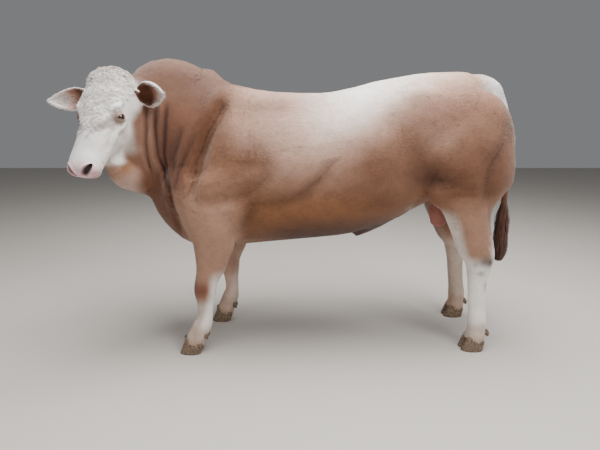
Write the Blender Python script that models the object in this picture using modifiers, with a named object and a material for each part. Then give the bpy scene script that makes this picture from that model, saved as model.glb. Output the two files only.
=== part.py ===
"""A life-size standing beef bull with its head turned to its left, parted into its named pieces.

Metres, +Z up. The bull faces -X and its left flank faces -Y. The flesh is laid up as lofts and
mounds, fused, smoothed and creased, and then parted with thin cuts. Hooves, eyes and ears are their own
pieces.
"""

import math

import bmesh
import bpy
import numpy as np
from mathutils import Matrix, Vector
from mathutils.bvhtree import BVHTree

LEFT = -1
RIGHT = 1

# Driving sizes of the animal
HEAD_YAW = 75
HEAD_PITCH = 55
HEAD_ROLL = 0
POLL = (-0.981, -0.261, 1.507)
GAP = 0.0003

# Middle of the finished bull's box, which becomes the origin
MIDDLE = (-0.040, -0.064)

BULL = "standing_bull"
CUTTERS = "cutters"

# The far legs stand a little behind the near ones: shift along the body, and outwards
FAR_FORE = {"shift": 0.10, "spread": -0.07}
FAR_HIND = {"shift": 0.05, "spread": 0.03}

# Claws: the coronet's plane rises towards the toe
CLAW_LENGTH = 0.115
CLAW_WIDTH = 0.052
CLAW_GAP = 0.008
CLAW_REACH = 0.022
CORONET_HEIGHT = 0.066
CORONET_SLOPE = 0.28

# Dewclaw: radius at its root and at its end, and length
DEWCLAW = (0.015, 0.008, 0.034)

# Middle of each foot's coronet, and its name
FEET = [
    (-0.600, -0.252, "fore_left"),
    (-0.500, 0.182, "fore_right"),
    (1.006, -0.220, "hind_left"),
    (1.056, 0.250, "hind_right"),
]

# Outlines in x, z along which the legs part from the trunk, and the cut between neck and trunk
FORELEG_REGION = [(-0.78, -0.1), (-0.78, 0.70), (-0.68, 0.88), (-0.57, 0.98), (-0.44, 1.01), (-0.33, 0.96),
                  (-0.28, 0.85), (-0.30, 0.72), (-0.345, 0.60), (-0.36, -0.1)]
HINDLEG_REGION = [(0.70, -0.1), (0.68, 0.78), (0.61, 0.90), (0.63, 1.02), (0.72, 1.13), (0.86, 1.19),
                  (1.02, 1.18), (1.16, 1.12), (1.38, 1.06), (1.38, -0.1)]
NECK_CUT = ((-0.938, 0, 0.346), (-0.53, 0, 1.18))

# Head parts in the head's own axes: down the face, to its left, out of the forehead
HEAD_REGION = [(-0.15, 0.25), (-0.085, -0.09), (0.09, -0.288), (0.32, -0.285), (0.75, -0.19), (0.75, 0.25)]
EYE = (0.198, 0.110, -0.081)
EYE_RADIUS = 0.021
CRANIUM = (0.040, 0.0, -0.11)
CURL = 0.034
NOSTRIL = [(0.530, 0.036, -0.096), (0.528, 0.046, -0.080), (0.512, 0.056, -0.062), (0.490, 0.056, -0.050)]
MOUTH = [(0.412, 0.075, -0.158), (0.457, 0.075, -0.148), (0.493, 0.052, -0.140), (0.507, 0.0, -0.138)]
EAR_WALL = 0.009

# The two ears are held differently: root, axis, way they open, length and width
EARS = {
    "left": ((0.045, 0.146, -0.098), (0.13, 0.98, 0.13), (0.735, -0.166, 0.614), 0.190, 0.130),
    "right": ((0.048, -0.136, -0.105), (0.14, -0.95, 0.03), (0.35, 0.15, 0.92), 0.240, 0.124),
}

# Tail: x, z, half width down to the switch, then the switch as rows of a loft
TAIL = [
    (0.98, 1.490, 0.055),
    (1.04, 1.472, 0.052),
    (1.095, 1.430, 0.044),
    (1.138, 1.355, 0.036),
    (1.175, 1.240, 0.030),
    (1.200, 1.10, 0.025),
    (1.205, 0.95, 0.022),
    (1.205, 0.85, 0.020),
    (1.205, 0.74, 0.020),
]
SWITCH_TOP = 0.80
SWITCH_END = 0.455
SWITCH_AXIS = 1.207
SWITCH_LOCKS = 11
SWITCH = [
    (1.205, 0, 0.83, 0.019, 0.019, 0.019),
    (1.206, 0, 0.74, 0.024, 0.024, 0.024),
    (1.207, 0, 0.66, 0.030, 0.028, 0.028),
    (1.207, 0, 0.58, 0.024, 0.024, 0.024),
    (1.207, 0, 0.53, 0.012, 0.012, 0.012),
]

# One lock of the switch: share of its length, distance out from the core, half width, half thickness
LOCK = [
    (0.00, 0.010, 0.010, 0.008),
    (0.30, 0.036, 0.019, 0.009),
    (0.65, 0.044, 0.016, 0.007),
    (1.00, 0.026, 0.004, 0.003),
]

SCROTUM = [
    (0.80, 0, 0.90, 0.040, 0.045, 0.045),
    (0.812, 0, 0.83, 0.042, 0.045, 0.045),
    (0.820, 0, 0.76, 0.056, 0.054, 0.054),
    (0.823, 0, 0.70, 0.048, 0.044, 0.044),
]

# Trunk sections: x, y, height of the widest level, half width, rise to the back, drop to the belly
TRUNK = [
    (1.09, 0, 1.24, 0.12, 0.245, 0.24),
    (1.04, 0, 1.22, 0.19, 0.305, 0.30),
    (0.96, 0, 1.20, 0.25, 0.350, 0.34),
    (0.85, 0, 1.20, 0.285, 0.355, 0.36),
    (0.70, 0, 1.18, 0.300, 0.370, 0.335),
    (0.55, 0, 1.13, 0.315, 0.398, 0.355),
    (0.40, 0, 1.08, 0.340, 0.407, 0.385),
    (0.20, 0, 1.03, 0.365, 0.420, 0.395),
    (0.00, 0, 1.01, 0.380, 0.435, 0.395),
    (-0.20, 0, 1.00, 0.370, 0.458, 0.405),
    (-0.40, 0, 1.00, 0.340, 0.490, 0.425),
    (-0.58, 0, 1.02, 0.300, 0.460, 0.440),
    (-0.72, 0, 1.04, 0.240, 0.440, 0.350),
    (-0.82, 0, 1.06, 0.170, 0.330, 0.200),
]

# Neck sections, from the shoulders to the back of the head
NECK = [
    (-0.36, 0.00, 1.08, 0.28, 0.39, 0.42),
    (-0.54, 0.00, 1.13, 0.275, 0.40, 0.46),
    (-0.70, -0.01, 1.20, 0.245, 0.43, 0.355),
    (-0.82, -0.05, 1.28, 0.210, 0.36, 0.34),
    (-0.90, -0.11, 1.34, 0.178, 0.26, 0.24),
    (-0.930, -0.16, 1.38, 0.145, 0.16, 0.18),
]

# The skin fold under the throat, down to the brisket
DEWLAP = [
    (-0.972, -0.300, 1.100, 0.032, 0.040, 0.040),
    (-0.935, -0.250, 1.010, 0.050, 0.062, 0.070),
    (-0.870, -0.190, 0.965, 0.052, 0.070, 0.075),
    (-0.810, -0.130, 0.935, 0.056, 0.070, 0.085),
    (-0.760, -0.080, 0.870, 0.064, 0.068, 0.100),
    (-0.710, -0.030, 0.770, 0.075, 0.085, 0.115),
]

# The sheath under the belly
SHEATH = [
    (0.56, 0, 0.745, 0.035, 0.05, 0.03),
    (0.46, 0, 0.690, 0.038, 0.05, 0.03),
    (0.38, 0, 0.655, 0.036, 0.05, 0.032),
    (0.325, 0, 0.625, 0.024, 0.03, 0.026),
]

# Foreleg sections down from the upper arm: x, sideways shift, z, half width, front, back
FORELEG = [
    (-0.50, 0.27, 0.98, 0.10, 0.15, 0.15),
    (-0.485, 0.275, 0.80, 0.095, 0.15, 0.135),
    (-0.475, 0.27, 0.70, 0.088, 0.125, 0.125),
    (-0.470, 0.268, 0.635, 0.080, 0.112, 0.125),
    (-0.478, 0.265, 0.57, 0.070, 0.100, 0.100),
    (-0.487, 0.262, 0.51, 0.062, 0.087, 0.088),
    (-0.502, 0.258, 0.45, 0.056, 0.076, 0.064),
    (-0.520, 0.256, 0.40, 0.060, 0.068, 0.060),
    (-0.525, 0.255, 0.35, 0.058, 0.064, 0.058),
    (-0.528, 0.254, 0.30, 0.045, 0.050, 0.048),
    (-0.530, 0.253, 0.25, 0.038, 0.046, 0.045),
    (-0.535, 0.252, 0.205, 0.038, 0.045, 0.046),
    (-0.550, 0.252, 0.165, 0.050, 0.054, 0.056),
    (-0.575, 0.252, 0.12, 0.050, 0.050, 0.055),
    (-0.592, 0.252, 0.085, 0.056, 0.055, 0.060),
    (-0.600, 0.252, 0.065, 0.056, 0.055, 0.060),
]

HINDLEG = [
    (0.88, 0.19, 1.22, 0.13, 0.19, 0.24),
    (0.88, 0.225, 1.05, 0.140, 0.22, 0.26),
    (0.87, 0.235, 0.93, 0.125, 0.19, 0.245),
    (0.885, 0.240, 0.83, 0.105, 0.122, 0.175),
    (0.925, 0.240, 0.732, 0.085, 0.118, 0.112),
    (0.955, 0.235, 0.66, 0.070, 0.118, 0.100),
    (0.990, 0.230, 0.58, 0.061, 0.112, 0.088),
    (1.000, 0.225, 0.52, 0.060, 0.086, 0.076),
    (1.000, 0.222, 0.46, 0.052, 0.072, 0.060),
    (1.000, 0.220, 0.40, 0.044, 0.060, 0.050),
    (1.005, 0.220, 0.30, 0.040, 0.056, 0.048),
    (1.012, 0.220, 0.21, 0.042, 0.054, 0.050),
    (1.014, 0.220, 0.165, 0.052, 0.056, 0.056),
    (1.012, 0.220, 0.12, 0.050, 0.050, 0.055),
    (1.008, 0.220, 0.085, 0.056, 0.055, 0.060),
    (1.006, 0.220, 0.065, 0.056, 0.055, 0.060),
]

# Head sections down the face: distance from the poll, sideways, height above the face line, sizes
SKULL = [
    (-0.02, 0, -0.105, 0.108, 0.080, 0.09),
    (0.03, 0, -0.110, 0.134, 0.106, 0.13),
    (0.09, 0, -0.120, 0.136, 0.120, 0.15),
    (0.15, 0, -0.122, 0.130, 0.120, 0.152),
    (0.20, 0, -0.121, 0.121, 0.114, 0.148),
    (0.26, 0, -0.117, 0.105, 0.103, 0.13),
    (0.33, 0, -0.110, 0.090, 0.087, 0.105),
    (0.40, 0, -0.102, 0.081, 0.076, 0.078),
    (0.455, 0, -0.098, 0.082, 0.068, 0.062),
    (0.485, 0, -0.095, 0.080, 0.056, 0.052),
]

# Lower jaw, in the same axes
JAW = [
    (0.12, 0, -0.232, 0.080, 0.05, 0.062),
    (0.21, 0, -0.220, 0.074, 0.05, 0.052),
    (0.30, 0, -0.190, 0.062, 0.04, 0.042),
    (0.39, 0, -0.162, 0.052, 0.035, 0.033),
    (0.46, 0, -0.147, 0.048, 0.03, 0.025),
]

# Ridge under the eye: distance down the face, outwards, height above the face line, radius
CHEEKBONE = [(0.185, 0.114, -0.108, 0.018), (0.25, 0.104, -0.112, 0.018), (0.32, 0.086, -0.112, 0.013)]

# Furrows as seen from the side: points x, z, then width and depth; a negative depth raises a fold
FURROWS = [
    ([(-0.40, 1.36), (-0.46, 1.26), (-0.50, 1.15), (-0.53, 1.02), (-0.56, 0.92)], 0.030, 0.022),
    ([(-0.27, 1.30), (-0.24, 1.14), (-0.25, 0.98), (-0.30, 0.88)], 0.050, 0.016),
    ([(-0.52, 0.88), (-0.45, 0.86), (-0.38, 0.885)], 0.022, 0.012),
    ([(0.14, 1.00), (0.05, 0.90), (-0.05, 0.84), (-0.24, 0.80)], 0.045, 0.012),
    ([(0.46, 1.26), (0.52, 1.14), (0.56, 1.02)], 0.075, 0.022),
    ([(0.62, 0.80), (0.70, 1.02), (0.80, 1.14)], 0.040, 0.012),
]

# Fineness of the clay, and the triangles it is thinned to
VOXEL = 0.008
FLESH_TRIANGLES = 7200
LEG_FINE = 0.05
FACE_FINE = 0.08


def smooth_rows(rows, steps):
    """The rows' numbers carried along a Catmull-Rom curve, in this many even steps."""
    rows = np.array(rows, float)
    padded = np.vstack([2 * rows[0] - rows[1], rows, 2 * rows[-1] - rows[-2]])
    place = np.linspace(0, len(rows) - 1, steps)
    index = np.minimum(place.astype(int), len(rows) - 2)
    t = (place - index)[:, None]
    a, b, c, d = (padded[index + k] for k in range(4))
    return 0.5 * (2 * b + (c - a) * t + (2 * a - 5 * b + 4 * c - d) * t**2 + (3 * b - a - 3 * c + d) * t**3)


def unit(v):
    return v / np.linalg.norm(v, axis=-1, keepdims=True)


def loft(clay, rows, ahead=(0, 0, 1), around=28, steps=40, square=2.0, cap=0.6, domes=4, place=None):
    """Adds a closed loft. A row is x, y, z, half width, rise on the ahead side, drop on the other side.

    Its sections are superellipses across the path, and its ends are domes."""
    path = smooth_rows(rows, steps)
    centre, size = path[:, :3], np.maximum(path[:, 3:6], 0.002)
    tangent = unit(np.gradient(centre, axis=0))
    side = unit(np.cross(np.array(ahead, float), tangent))
    rise = np.cross(tangent, side)
    dome = np.sin(np.linspace(0, math.pi / 2, domes + 2)[1:-1])
    shrink = np.sqrt(1 - dome**2)
    first, last = size[0].mean() * cap, size[-1].mean() * cap
    start = centre[0] - tangent[0] * first * dome[::-1, None]
    end = centre[-1] + tangent[-1] * last * dome[:, None]
    centre = np.vstack([start, centre, end])
    size = np.vstack([size[0] * shrink[::-1, None], size, size[-1] * shrink[:, None]])
    pad = lambda v: np.vstack([np.repeat(v[:1], domes, 0), v, np.repeat(v[-1:], domes, 0)])
    side, rise, tangent = pad(side), pad(rise), pad(tangent)
    angle = np.linspace(0, 2 * math.pi, around, endpoint=False)
    bend = 2 / square
    cos, sin = np.cos(angle), np.sin(angle)
    across = np.sign(cos) * np.abs(cos) ** bend
    up = np.sign(sin) * np.abs(sin) ** bend
    height = np.where(up > 0, size[:, 1:2], size[:, 2:3]) * up
    width = size[:, :1] * across
    points = centre[:, None] + side[:, None] * width[..., None] + rise[:, None] * height[..., None]
    beyond = [tangent[0] * size[0].mean() * 0.2, tangent[-1] * size[-1].mean() * 0.2]
    ends = np.stack([centre[0] - beyond[0], centre[-1] + beyond[1]])
    points = np.vstack([points.reshape(-1, 3), ends])
    if place is not None:
        points = points @ place[:3, :3].T + place[:3, 3]
    verts = [clay.verts.new(p) for p in points]
    count = len(centre)
    ring = lambda r, k: verts[r * around + k % around]
    for r in range(count - 1):
        for k in range(around):
            clay.faces.new((ring(r, k), ring(r, k + 1), ring(r + 1, k + 1), ring(r + 1, k)))
    for k in range(around):
        clay.faces.new((verts[-2], ring(0, k + 1), ring(0, k)))
        clay.faces.new((verts[-1], ring(count - 1, k), ring(count - 1, k + 1)))


def mound(clay, centre, radii, lean=0, swing=0, roll=0, place=None):
    """Adds an ellipsoid: lean tips it about Y, swing turns it about Z and roll about X, in degrees."""
    turn = Matrix.Rotation(math.radians(swing), 4, "Z") @ Matrix.Rotation(math.radians(lean), 4, "Y")
    turn = turn @ Matrix.Rotation(math.radians(roll), 4, "X")
    matrix = Matrix.Translation(centre) @ turn @ Matrix.Diagonal((*radii, 1))
    if place is not None:
        matrix = Matrix(place.tolist()) @ matrix
    bmesh.ops.create_uvsphere(clay, u_segments=24, v_segments=16, radius=1, matrix=matrix)


def head_place():
    """The head's own axes in the bull's frame: X down the face, Y to its left, Z out of the forehead."""
    yaw, pitch, roll = (math.radians(a) for a in (HEAD_YAW, HEAD_PITCH, HEAD_ROLL))
    forward = np.array([-math.cos(yaw), -math.sin(yaw), 0])
    left = np.array([math.sin(yaw), -math.cos(yaw), 0])
    down_face = math.cos(pitch) * forward - math.sin(pitch) * np.array([0, 0, 1])
    out = math.sin(pitch) * forward + math.cos(pitch) * np.array([0, 0, 1])
    turn = np.column_stack([down_face, left, out])
    spin = np.array(Matrix.Rotation(roll, 3, "X"))
    place = np.eye(4)
    place[:3, :3] = turn @ spin
    place[:3, 3] = POLL
    return place


def lay_trunk(clay):
    loft(clay, TRUNK, steps=60, around=40, square=2.3, cap=0.5)
    loft(clay, NECK, steps=40, around=36, square=2.1, cap=0.5)
    loft(clay, DEWLAP, ahead=(-0.5, 0, -0.8), steps=24, around=16, cap=0.5)
    loft(clay, SHEATH, steps=16, around=14, cap=0.5)
    mound(clay, (-0.63, 0, 0.74), (0.125, 0.15, 0.16))
    mound(clay, (-0.71, -0.02, 1.435), (0.25, 0.15, 0.19), lean=4)
    for side in (LEFT, RIGHT):
        mound(clay, (-0.44, side * 0.17, 1.14), (0.19, 0.15, 0.35), lean=18)
        mound(clay, (-0.62, side * 0.23, 0.93), (0.12, 0.10, 0.15))
        mound(clay, (-0.40, side * 0.265, 0.93), (0.16, 0.10, 0.17))
        mound(clay, (0.98, side * 0.16, 1.17), (0.17, 0.15, 0.28), lean=-8)
        mound(clay, (0.91, side * 0.24, 1.06), (0.20, 0.12, 0.27), lean=-10)
        mound(clay, (0.755, side * 0.26, 0.93), (0.085, 0.07, 0.11))
        mound(clay, (0.62, side * 0.20, 1.40), (0.12, 0.08, 0.07))


def lay_leg(clay, rows, side, shift=0, spread=0):
    """A leg on one side; shift moves its foot along the body and spread moves it outwards."""
    top, foot = rows[0][2], rows[-1][2]
    moved = []
    for x, y, z, width, front, back in rows:
        share = (top - z) / (top - foot)
        moved.append((x + shift * share, side * (y + spread * share), z, width, front, back))
    loft(clay, moved, ahead=(-1, 0, 0), steps=70, around=28, cap=0.3)


def lay_head(clay):
    """Skull and cheeks, lower jaw, muzzle pad, chin, brows and cheekbones, in the head's own axes."""
    place = head_place()
    loft(clay, SKULL, steps=40, around=32, square=2.2, cap=0.45, place=place)
    loft(clay, JAW, steps=24, cap=0.6, place=place)
    mound(clay, (0.493, 0, -0.093), (0.032, 0.082, 0.052), place=place)
    mound(clay, (0.466, 0, -0.155), (0.038, 0.054, 0.030), place=place)
    mound(clay, (0.00, 0, -0.060), (0.085, 0.128, 0.075), place=place)
    mound(clay, (0.09, 0, -0.050), (0.100, 0.118, 0.055), place=place)
    mound(clay, (0.17, 0, -0.245), (0.130, 0.080, 0.060), place=place)
    mound(clay, (0.31, 0, -0.245), (0.090, 0.055, 0.045), place=place)
    for side in (LEFT, RIGHT):
        mound(clay, (0.15, side * 0.084, -0.190), (0.11, 0.046, 0.10), place=place)
        mound(clay, (0.155, side * 0.096, -0.046), (0.052, 0.032, 0.028), place=place)
        bone = [(p, side * q, r, w, w, w) for p, q, r, w in CHEEKBONE]
        loft(clay, bone, steps=16, around=12, place=place)


def fused(clay, voxel):
    """One closed surface round all the clay."""
    mesh = bpy.data.meshes.new("clay")
    clay.to_mesh(mesh)
    body = bpy.data.objects.new("clay", mesh)
    bpy.context.scene.collection.objects.link(body)
    remesh = body.modifiers.new("fuse", "REMESH")
    remesh.mode = "VOXEL"
    remesh.voxel_size = voxel
    graph = bpy.context.evaluated_depsgraph_get()
    whole = bpy.data.meshes.new_from_object(body.evaluated_get(graph))
    bpy.data.objects.remove(body)
    return whole


def relax(mesh, rounds, keep=None):
    """Moves each point towards the mean of its neighbours, less where keep is near 1."""
    count = len(mesh.vertices)
    points = np.empty(count * 3)
    mesh.vertices.foreach_get("co", points)
    points = points.reshape(-1, 3)
    edges = np.empty(len(mesh.edges) * 2, int)
    mesh.edges.foreach_get("vertices", edges)
    a, b = edges.reshape(-1, 2).T
    near = np.bincount(np.concatenate([a, b]), minlength=count)
    free = np.ones(count) if keep is None else 1 - keep(points)
    for _ in range(rounds):
        total = [np.bincount(a, points[b, k], count) + np.bincount(b, points[a, k], count) for k in range(3)]
        total = np.stack(total, 1)
        points += 0.6 * free[:, None] * (total / near[:, None] - points)
    mesh.vertices.foreach_set("co", points.ravel())
    mesh.update()


def feet_and_face(points):
    """Two shares from 0 to 1 for each point: how far it is on a shin or foot, and how far on the face."""
    low = np.clip((0.62 - points[:, 2]) / 0.25, 0, 1)
    place = head_place()
    local = (points - place[:3, 3]) @ place[:3, :3]
    from_axis = np.linalg.norm(local[:, 1:] + [0, 0.12], axis=1)
    face = np.clip((local[:, 0] + 0.05) / 0.2, 0, 1) * np.clip((0.30 - from_axis) / 0.08, 0, 1)
    return low, face


def keep_fine(points):
    """Feet, shins and face keep more of their form than the broad flesh does."""
    low, face = feet_and_face(points)
    return 0.85 * np.maximum(low, face)


def crease(mesh, furrows):
    """Sinks each furrow into both flanks: by its depth on the line, dying away as a bell over its width."""
    count = len(mesh.vertices)
    points, normals = np.empty(count * 3), np.empty(count * 3)
    mesh.vertices.foreach_get("co", points)
    mesh.vertices.foreach_get("normal", normals)
    points, normals = points.reshape(-1, 3), normals.reshape(-1, 3)
    sideways = np.clip(np.abs(normals[:, 1]) * 1.6 - 0.3, 0, 1)
    for line, width, depth in furrows:
        line = np.array(line)
        nearest = np.full(count, 9.0)
        for a, b in zip(line[:-1], line[1:]):
            along = np.clip(((points[:, [0, 2]] - a) @ (b - a)) / ((b - a) @ (b - a)), 0, 1)
            gap = np.linalg.norm(points[:, [0, 2]] - a - along[:, None] * (b - a), axis=1)
            nearest = np.minimum(nearest, gap)
        points -= normals * (depth * sideways * np.exp(-(nearest / width) ** 2))[:, None]
    mesh.vertices.foreach_set("co", points.ravel())
    mesh.update()


def lay_flesh():
    """The whole fleshy body as one mesh, before it is parted."""
    clay = bmesh.new()
    lay_trunk(clay)
    lay_leg(clay, FORELEG, LEFT)
    lay_leg(clay, FORELEG, RIGHT, **FAR_FORE)
    lay_leg(clay, HINDLEG, LEFT)
    lay_leg(clay, HINDLEG, RIGHT, **FAR_HIND)
    lay_head(clay)
    mesh = fused(clay, VOXEL)
    clay.free()
    relax(mesh, 24, keep_fine)
    crease(mesh, FURROWS)
    relax(mesh, 3)
    return mesh


def own_material(name, colour, roughness):
    material = bpy.data.materials.new(name)
    material.use_nodes = True
    shader = material.node_tree.nodes["Principled BSDF"]
    shader.inputs["Base Color"].default_value = (*colour, 1)
    shader.inputs["Roughness"].default_value = roughness
    shader.inputs["Metallic"].default_value = 0
    return material


def piece(name, mesh, colour, roughness=0.8):
    obj = bpy.data.objects.new(name, mesh)
    bpy.data.collections[BULL].objects.link(obj)
    mesh.materials.clear()
    mesh.materials.append(own_material(name, colour, roughness))
    return obj


def cutter(mesh):
    obj = bpy.data.objects.new("cutter", mesh)
    bpy.data.collections[CUTTERS].objects.link(obj)
    obj.hide_render = True
    obj.display_type = "WIRE"
    return obj


def settle(obj):
    """Applies the object's modifiers and keeps its largest closed surface, in triangles."""
    graph = bpy.context.evaluated_depsgraph_get()
    mesh = bpy.data.meshes.new_from_object(obj.evaluated_get(graph))
    obj.modifiers.clear()
    shape = bmesh.new()
    shape.from_mesh(mesh)
    bmesh.ops.remove_doubles(shape, verts=shape.verts, dist=0.00002)
    bmesh.ops.dissolve_degenerate(shape, edges=shape.edges, dist=0.00002)
    bmesh.ops.triangulate(shape, faces=shape.faces)
    shape.verts.ensure_lookup_table()
    label = {}
    groups = []
    for seed in shape.verts:
        if seed in label:
            continue
        stack, group = [seed], []
        label[seed] = len(groups)
        while stack:
            vert = stack.pop()
            group.append(vert)
            for edge in vert.link_edges:
                other = edge.other_vert(vert)
                if other not in label:
                    label[other] = len(groups)
                    stack.append(other)
        groups.append(group)
    groups.sort(key=len)
    bmesh.ops.delete(shape, geom=[v for g in groups[:-1] for v in g], context="VERTS")
    shape.to_mesh(mesh)
    shape.free()
    old = obj.data
    obj.data = mesh
    bpy.data.meshes.remove(old)


def carve(obj, meshes, operation="DIFFERENCE"):
    """One Boolean of the object with these closed meshes, applied; the cutters are removed."""
    tools = [cutter(mesh) for mesh in meshes]
    for tool in tools:
        cut = obj.modifiers.new("cut", "BOOLEAN")
        cut.operation = operation
        cut.solver = "MANIFOLD"
        cut.object = tool
    bpy.context.view_layer.update()
    settle(obj)
    for tool in tools:
        bpy.data.objects.remove(tool)


def join(obj, meshes):
    """One Boolean union of the object with a collection of closed meshes, applied."""
    group = bpy.data.collections.new("joined")
    bpy.data.collections[CUTTERS].children.link(group)
    for mesh in meshes:
        tool = bpy.data.objects.new("root", mesh)
        group.objects.link(tool)
        tool.hide_render = True
        tool.display_type = "WIRE"
    union = obj.modifiers.new("join", "BOOLEAN")
    union.operation = "UNION"
    union.solver = "MANIFOLD"
    union.operand_type = "COLLECTION"
    union.collection = group
    bpy.context.view_layer.update()
    settle(obj)
    for tool in list(group.objects):
        bpy.data.objects.remove(tool)
    bpy.data.collections.remove(group)


def swollen(mesh, by):
    """A copy of the mesh with its points moved out along their normals."""
    copy = mesh.copy()
    count = len(copy.vertices)
    points, normals = np.empty(count * 3), np.empty(count * 3)
    copy.vertices.foreach_get("co", points)
    copy.vertices.foreach_get("normal", normals)
    copy.vertices.foreach_set("co", points + by * normals)
    copy.update()
    return copy


def to_mesh(shape, name="shape"):
    bmesh.ops.recalc_face_normals(shape, faces=shape.faces)
    mesh = bpy.data.meshes.new(name)
    shape.to_mesh(mesh)
    shape.free()
    return mesh


def block(centre, turn, sizes):
    """A box given by its centre, its turn matrix and its half sizes."""
    shape = bmesh.new()
    turn = Matrix(np.array(turn).tolist()).to_4x4()
    matrix = Matrix.Translation(centre) @ turn @ Matrix.Diagonal((*sizes, 1))
    bmesh.ops.create_cube(shape, size=2, matrix=matrix)
    return to_mesh(shape)


def prism(outline, near, far):
    """A flat outline in x, z carried from y near to y far."""
    shape = bmesh.new()
    face = shape.faces.new([shape.verts.new((x, near, z)) for x, z in outline])
    grown = bmesh.ops.extrude_face_region(shape, geom=[face])["geom"]
    grown = [v for v in grown if isinstance(v, bmesh.types.BMVert)]
    bmesh.ops.translate(shape, verts=grown, vec=(0, far - near, 0))
    return to_mesh(shape)


def grown_outline(outline, by):
    """The outline with every corner moved out from its middle, by about this much."""
    outline = np.array(outline)
    arm = outline - outline.mean(0)
    return outline + by * np.sign(arm)


def thin(mesh, triangles):
    """Fewer triangles, with the head and the feet kept finer than the trunk."""
    obj = bpy.data.objects.new("thin", mesh)
    bpy.context.scene.collection.objects.link(obj)
    count = len(mesh.vertices)
    points = np.empty(count * 3)
    mesh.vertices.foreach_get("co", points)
    low, face = feet_and_face(points.reshape(-1, 3))
    level = np.round(50 * np.maximum(LEG_FINE * low, FACE_FINE * face)).astype(int)
    group = obj.vertex_groups.new(name="coarse")
    for step in range(level.max() + 1):
        group.add(np.flatnonzero(level == step).tolist(), 1 - step / 50, "REPLACE")
    fewer = obj.modifiers.new("thin", "DECIMATE")
    fewer.ratio = triangles / (2 * len(mesh.polygons))
    fewer.vertex_group = "coarse"
    fewer.vertex_group_factor = 0.7
    graph = bpy.context.evaluated_depsgraph_get()
    result = bpy.data.meshes.new_from_object(obj.evaluated_get(graph))
    bpy.data.objects.remove(obj)
    return result


def halves(mesh, inner, outer):
    """What of the mesh lies inside the inner cutter, and what lies outside the outer one."""
    pieces = []
    for tool, operation in ((inner, "INTERSECT"), (outer, "DIFFERENCE")):
        obj = bpy.data.objects.new("half", mesh.copy())
        bpy.context.scene.collection.objects.link(obj)
        carve(obj, [tool], operation)
        pieces.append(obj.data)
        bpy.data.objects.remove(obj)
    return pieces


def head_prism(by):
    """The head's region, grown by this much."""
    mesh = prism(grown_outline(HEAD_REGION, by), -0.21 - by, 0.21 + by)
    mesh.transform(Matrix(head_place().tolist()))
    return mesh


def part_leg(torso, region, side, inner):
    """Takes a leg off the trunk along the region's outline, and leaves a gap."""
    leg = bpy.data.objects.new("leg", torso.data.copy())
    bpy.context.scene.collection.objects.link(leg)
    near, far = (inner, 0.7) if side > 0 else (-0.7, -inner)
    inset = prism(grown_outline(region, -GAP / 2), near + (side > 0) * GAP, far - (side < 0) * GAP)
    carve(leg, [inset], "INTERSECT")
    carve(torso, [prism(grown_outline(region, GAP / 2), near, far)])
    mesh = leg.data
    bpy.data.objects.remove(leg)
    return mesh


def claw(centre, outward):
    """One claw: rings from the flat sole up to the slanted coronet, its toe drawn forward and inward."""
    rings, around = [(0.0, 1.00), (0.10, 1.04), (0.45, 0.97), (1.0, 0.86)], 14
    shape = bmesh.new()
    verts = []
    for rise, size in rings:
        for k in range(around):
            angle = 2 * math.pi * k / around
            toe = math.cos(angle)
            x = CLAW_LENGTH / 2 * size * toe + (1 - rise) * CLAW_REACH
            y = outward * CLAW_WIDTH / 2 * size * math.copysign(abs(math.sin(angle)) ** 0.8, math.sin(angle))
            y -= outward * 0.008 * max(toe, 0) ** 2 * (1 - rise)
            y += outward * (CLAW_WIDTH / 2 + CLAW_GAP / 2)
            top = CORONET_HEIGHT + CORONET_SLOPE * (CLAW_LENGTH / 2 * size * toe) - GAP
            z = rise * top
            verts.append(shape.verts.new((centre[0] - x, centre[1] + y, z)))
    for r in range(len(rings) - 1):
        for k in range(around):
            low, high = r * around, (r + 1) * around
            m = (k + 1) % around
            shape.faces.new([verts[low + k], verts[low + m], verts[high + m], verts[high + k]])
    shape.faces.new(verts[:around][::-1])
    shape.faces.new(verts[-around:])
    return to_mesh(shape)


def dewclaw(place):
    """A small blunt cone behind the fetlock, leaning down and back."""
    shape = bmesh.new()
    matrix = Matrix.Translation(place) @ Matrix.Rotation(math.radians(200), 4, "Y")
    bmesh.ops.create_cone(shape, cap_ends=True, segments=10, radius1=DEWCLAW[0], radius2=DEWCLAW[1],
                          depth=DEWCLAW[2], matrix=matrix)
    return to_mesh(shape)


def leaf(place, root, axis, opening, length, width):
    """An ear: a cup round its own axis, open on one side, with an outer and an inner skin joined at the rim.

    Across the ear the skin is an arc, nearly a full ring at the root and half a ring at the tip. Its radius
    swells to half the width and closes at the tip, and the axis bends a little to the open side."""
    along, across = 10, 8
    axis = unit(np.array(axis, float))
    opening = np.array(opening, float)
    opening = unit(opening - axis * (axis @ opening))
    side = np.cross(axis, opening)
    rows = []
    for t in np.sin(np.linspace(0, math.pi / 2, along)):
        radius = width / 2 * (0.5 + 0.5 * math.sin(math.pi * t**0.8)) * math.sqrt(max(1 - t**4, 0.01))
        bow = math.radians(155 - 75 * t**0.8)
        wall = min(EAR_WALL, 0.7 * radius)
        middle = np.array(root) + axis * length * t + opening * 0.12 * length * t**2
        turns = np.linspace(-bow, bow, across)
        spokes = [side * math.sin(a) - opening * math.cos(a) for a in turns]
        out = [middle + radius * n for n in spokes]
        inner = [middle + (radius - wall) * n for n in spokes]
        rows.append(out + inner[::-1])
    shape = bmesh.new()
    verts = [[shape.verts.new(place[:3, :3] @ v + place[:3, 3]) for v in row] for row in rows]
    around = len(verts[0])
    for a, b in zip(verts[:-1], verts[1:]):
        for k in range(around):
            m = (k + 1) % around
            shape.faces.new((a[k], a[m], b[m]))
            shape.faces.new((a[k], b[m], b[k]))
    for ring in (verts[0], verts[-1]):
        for k in range(across - 1):
            shape.faces.new((ring[k], ring[k + 1], ring[around - 2 - k], ring[around - 1 - k]))
    return to_mesh(shape)


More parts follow.
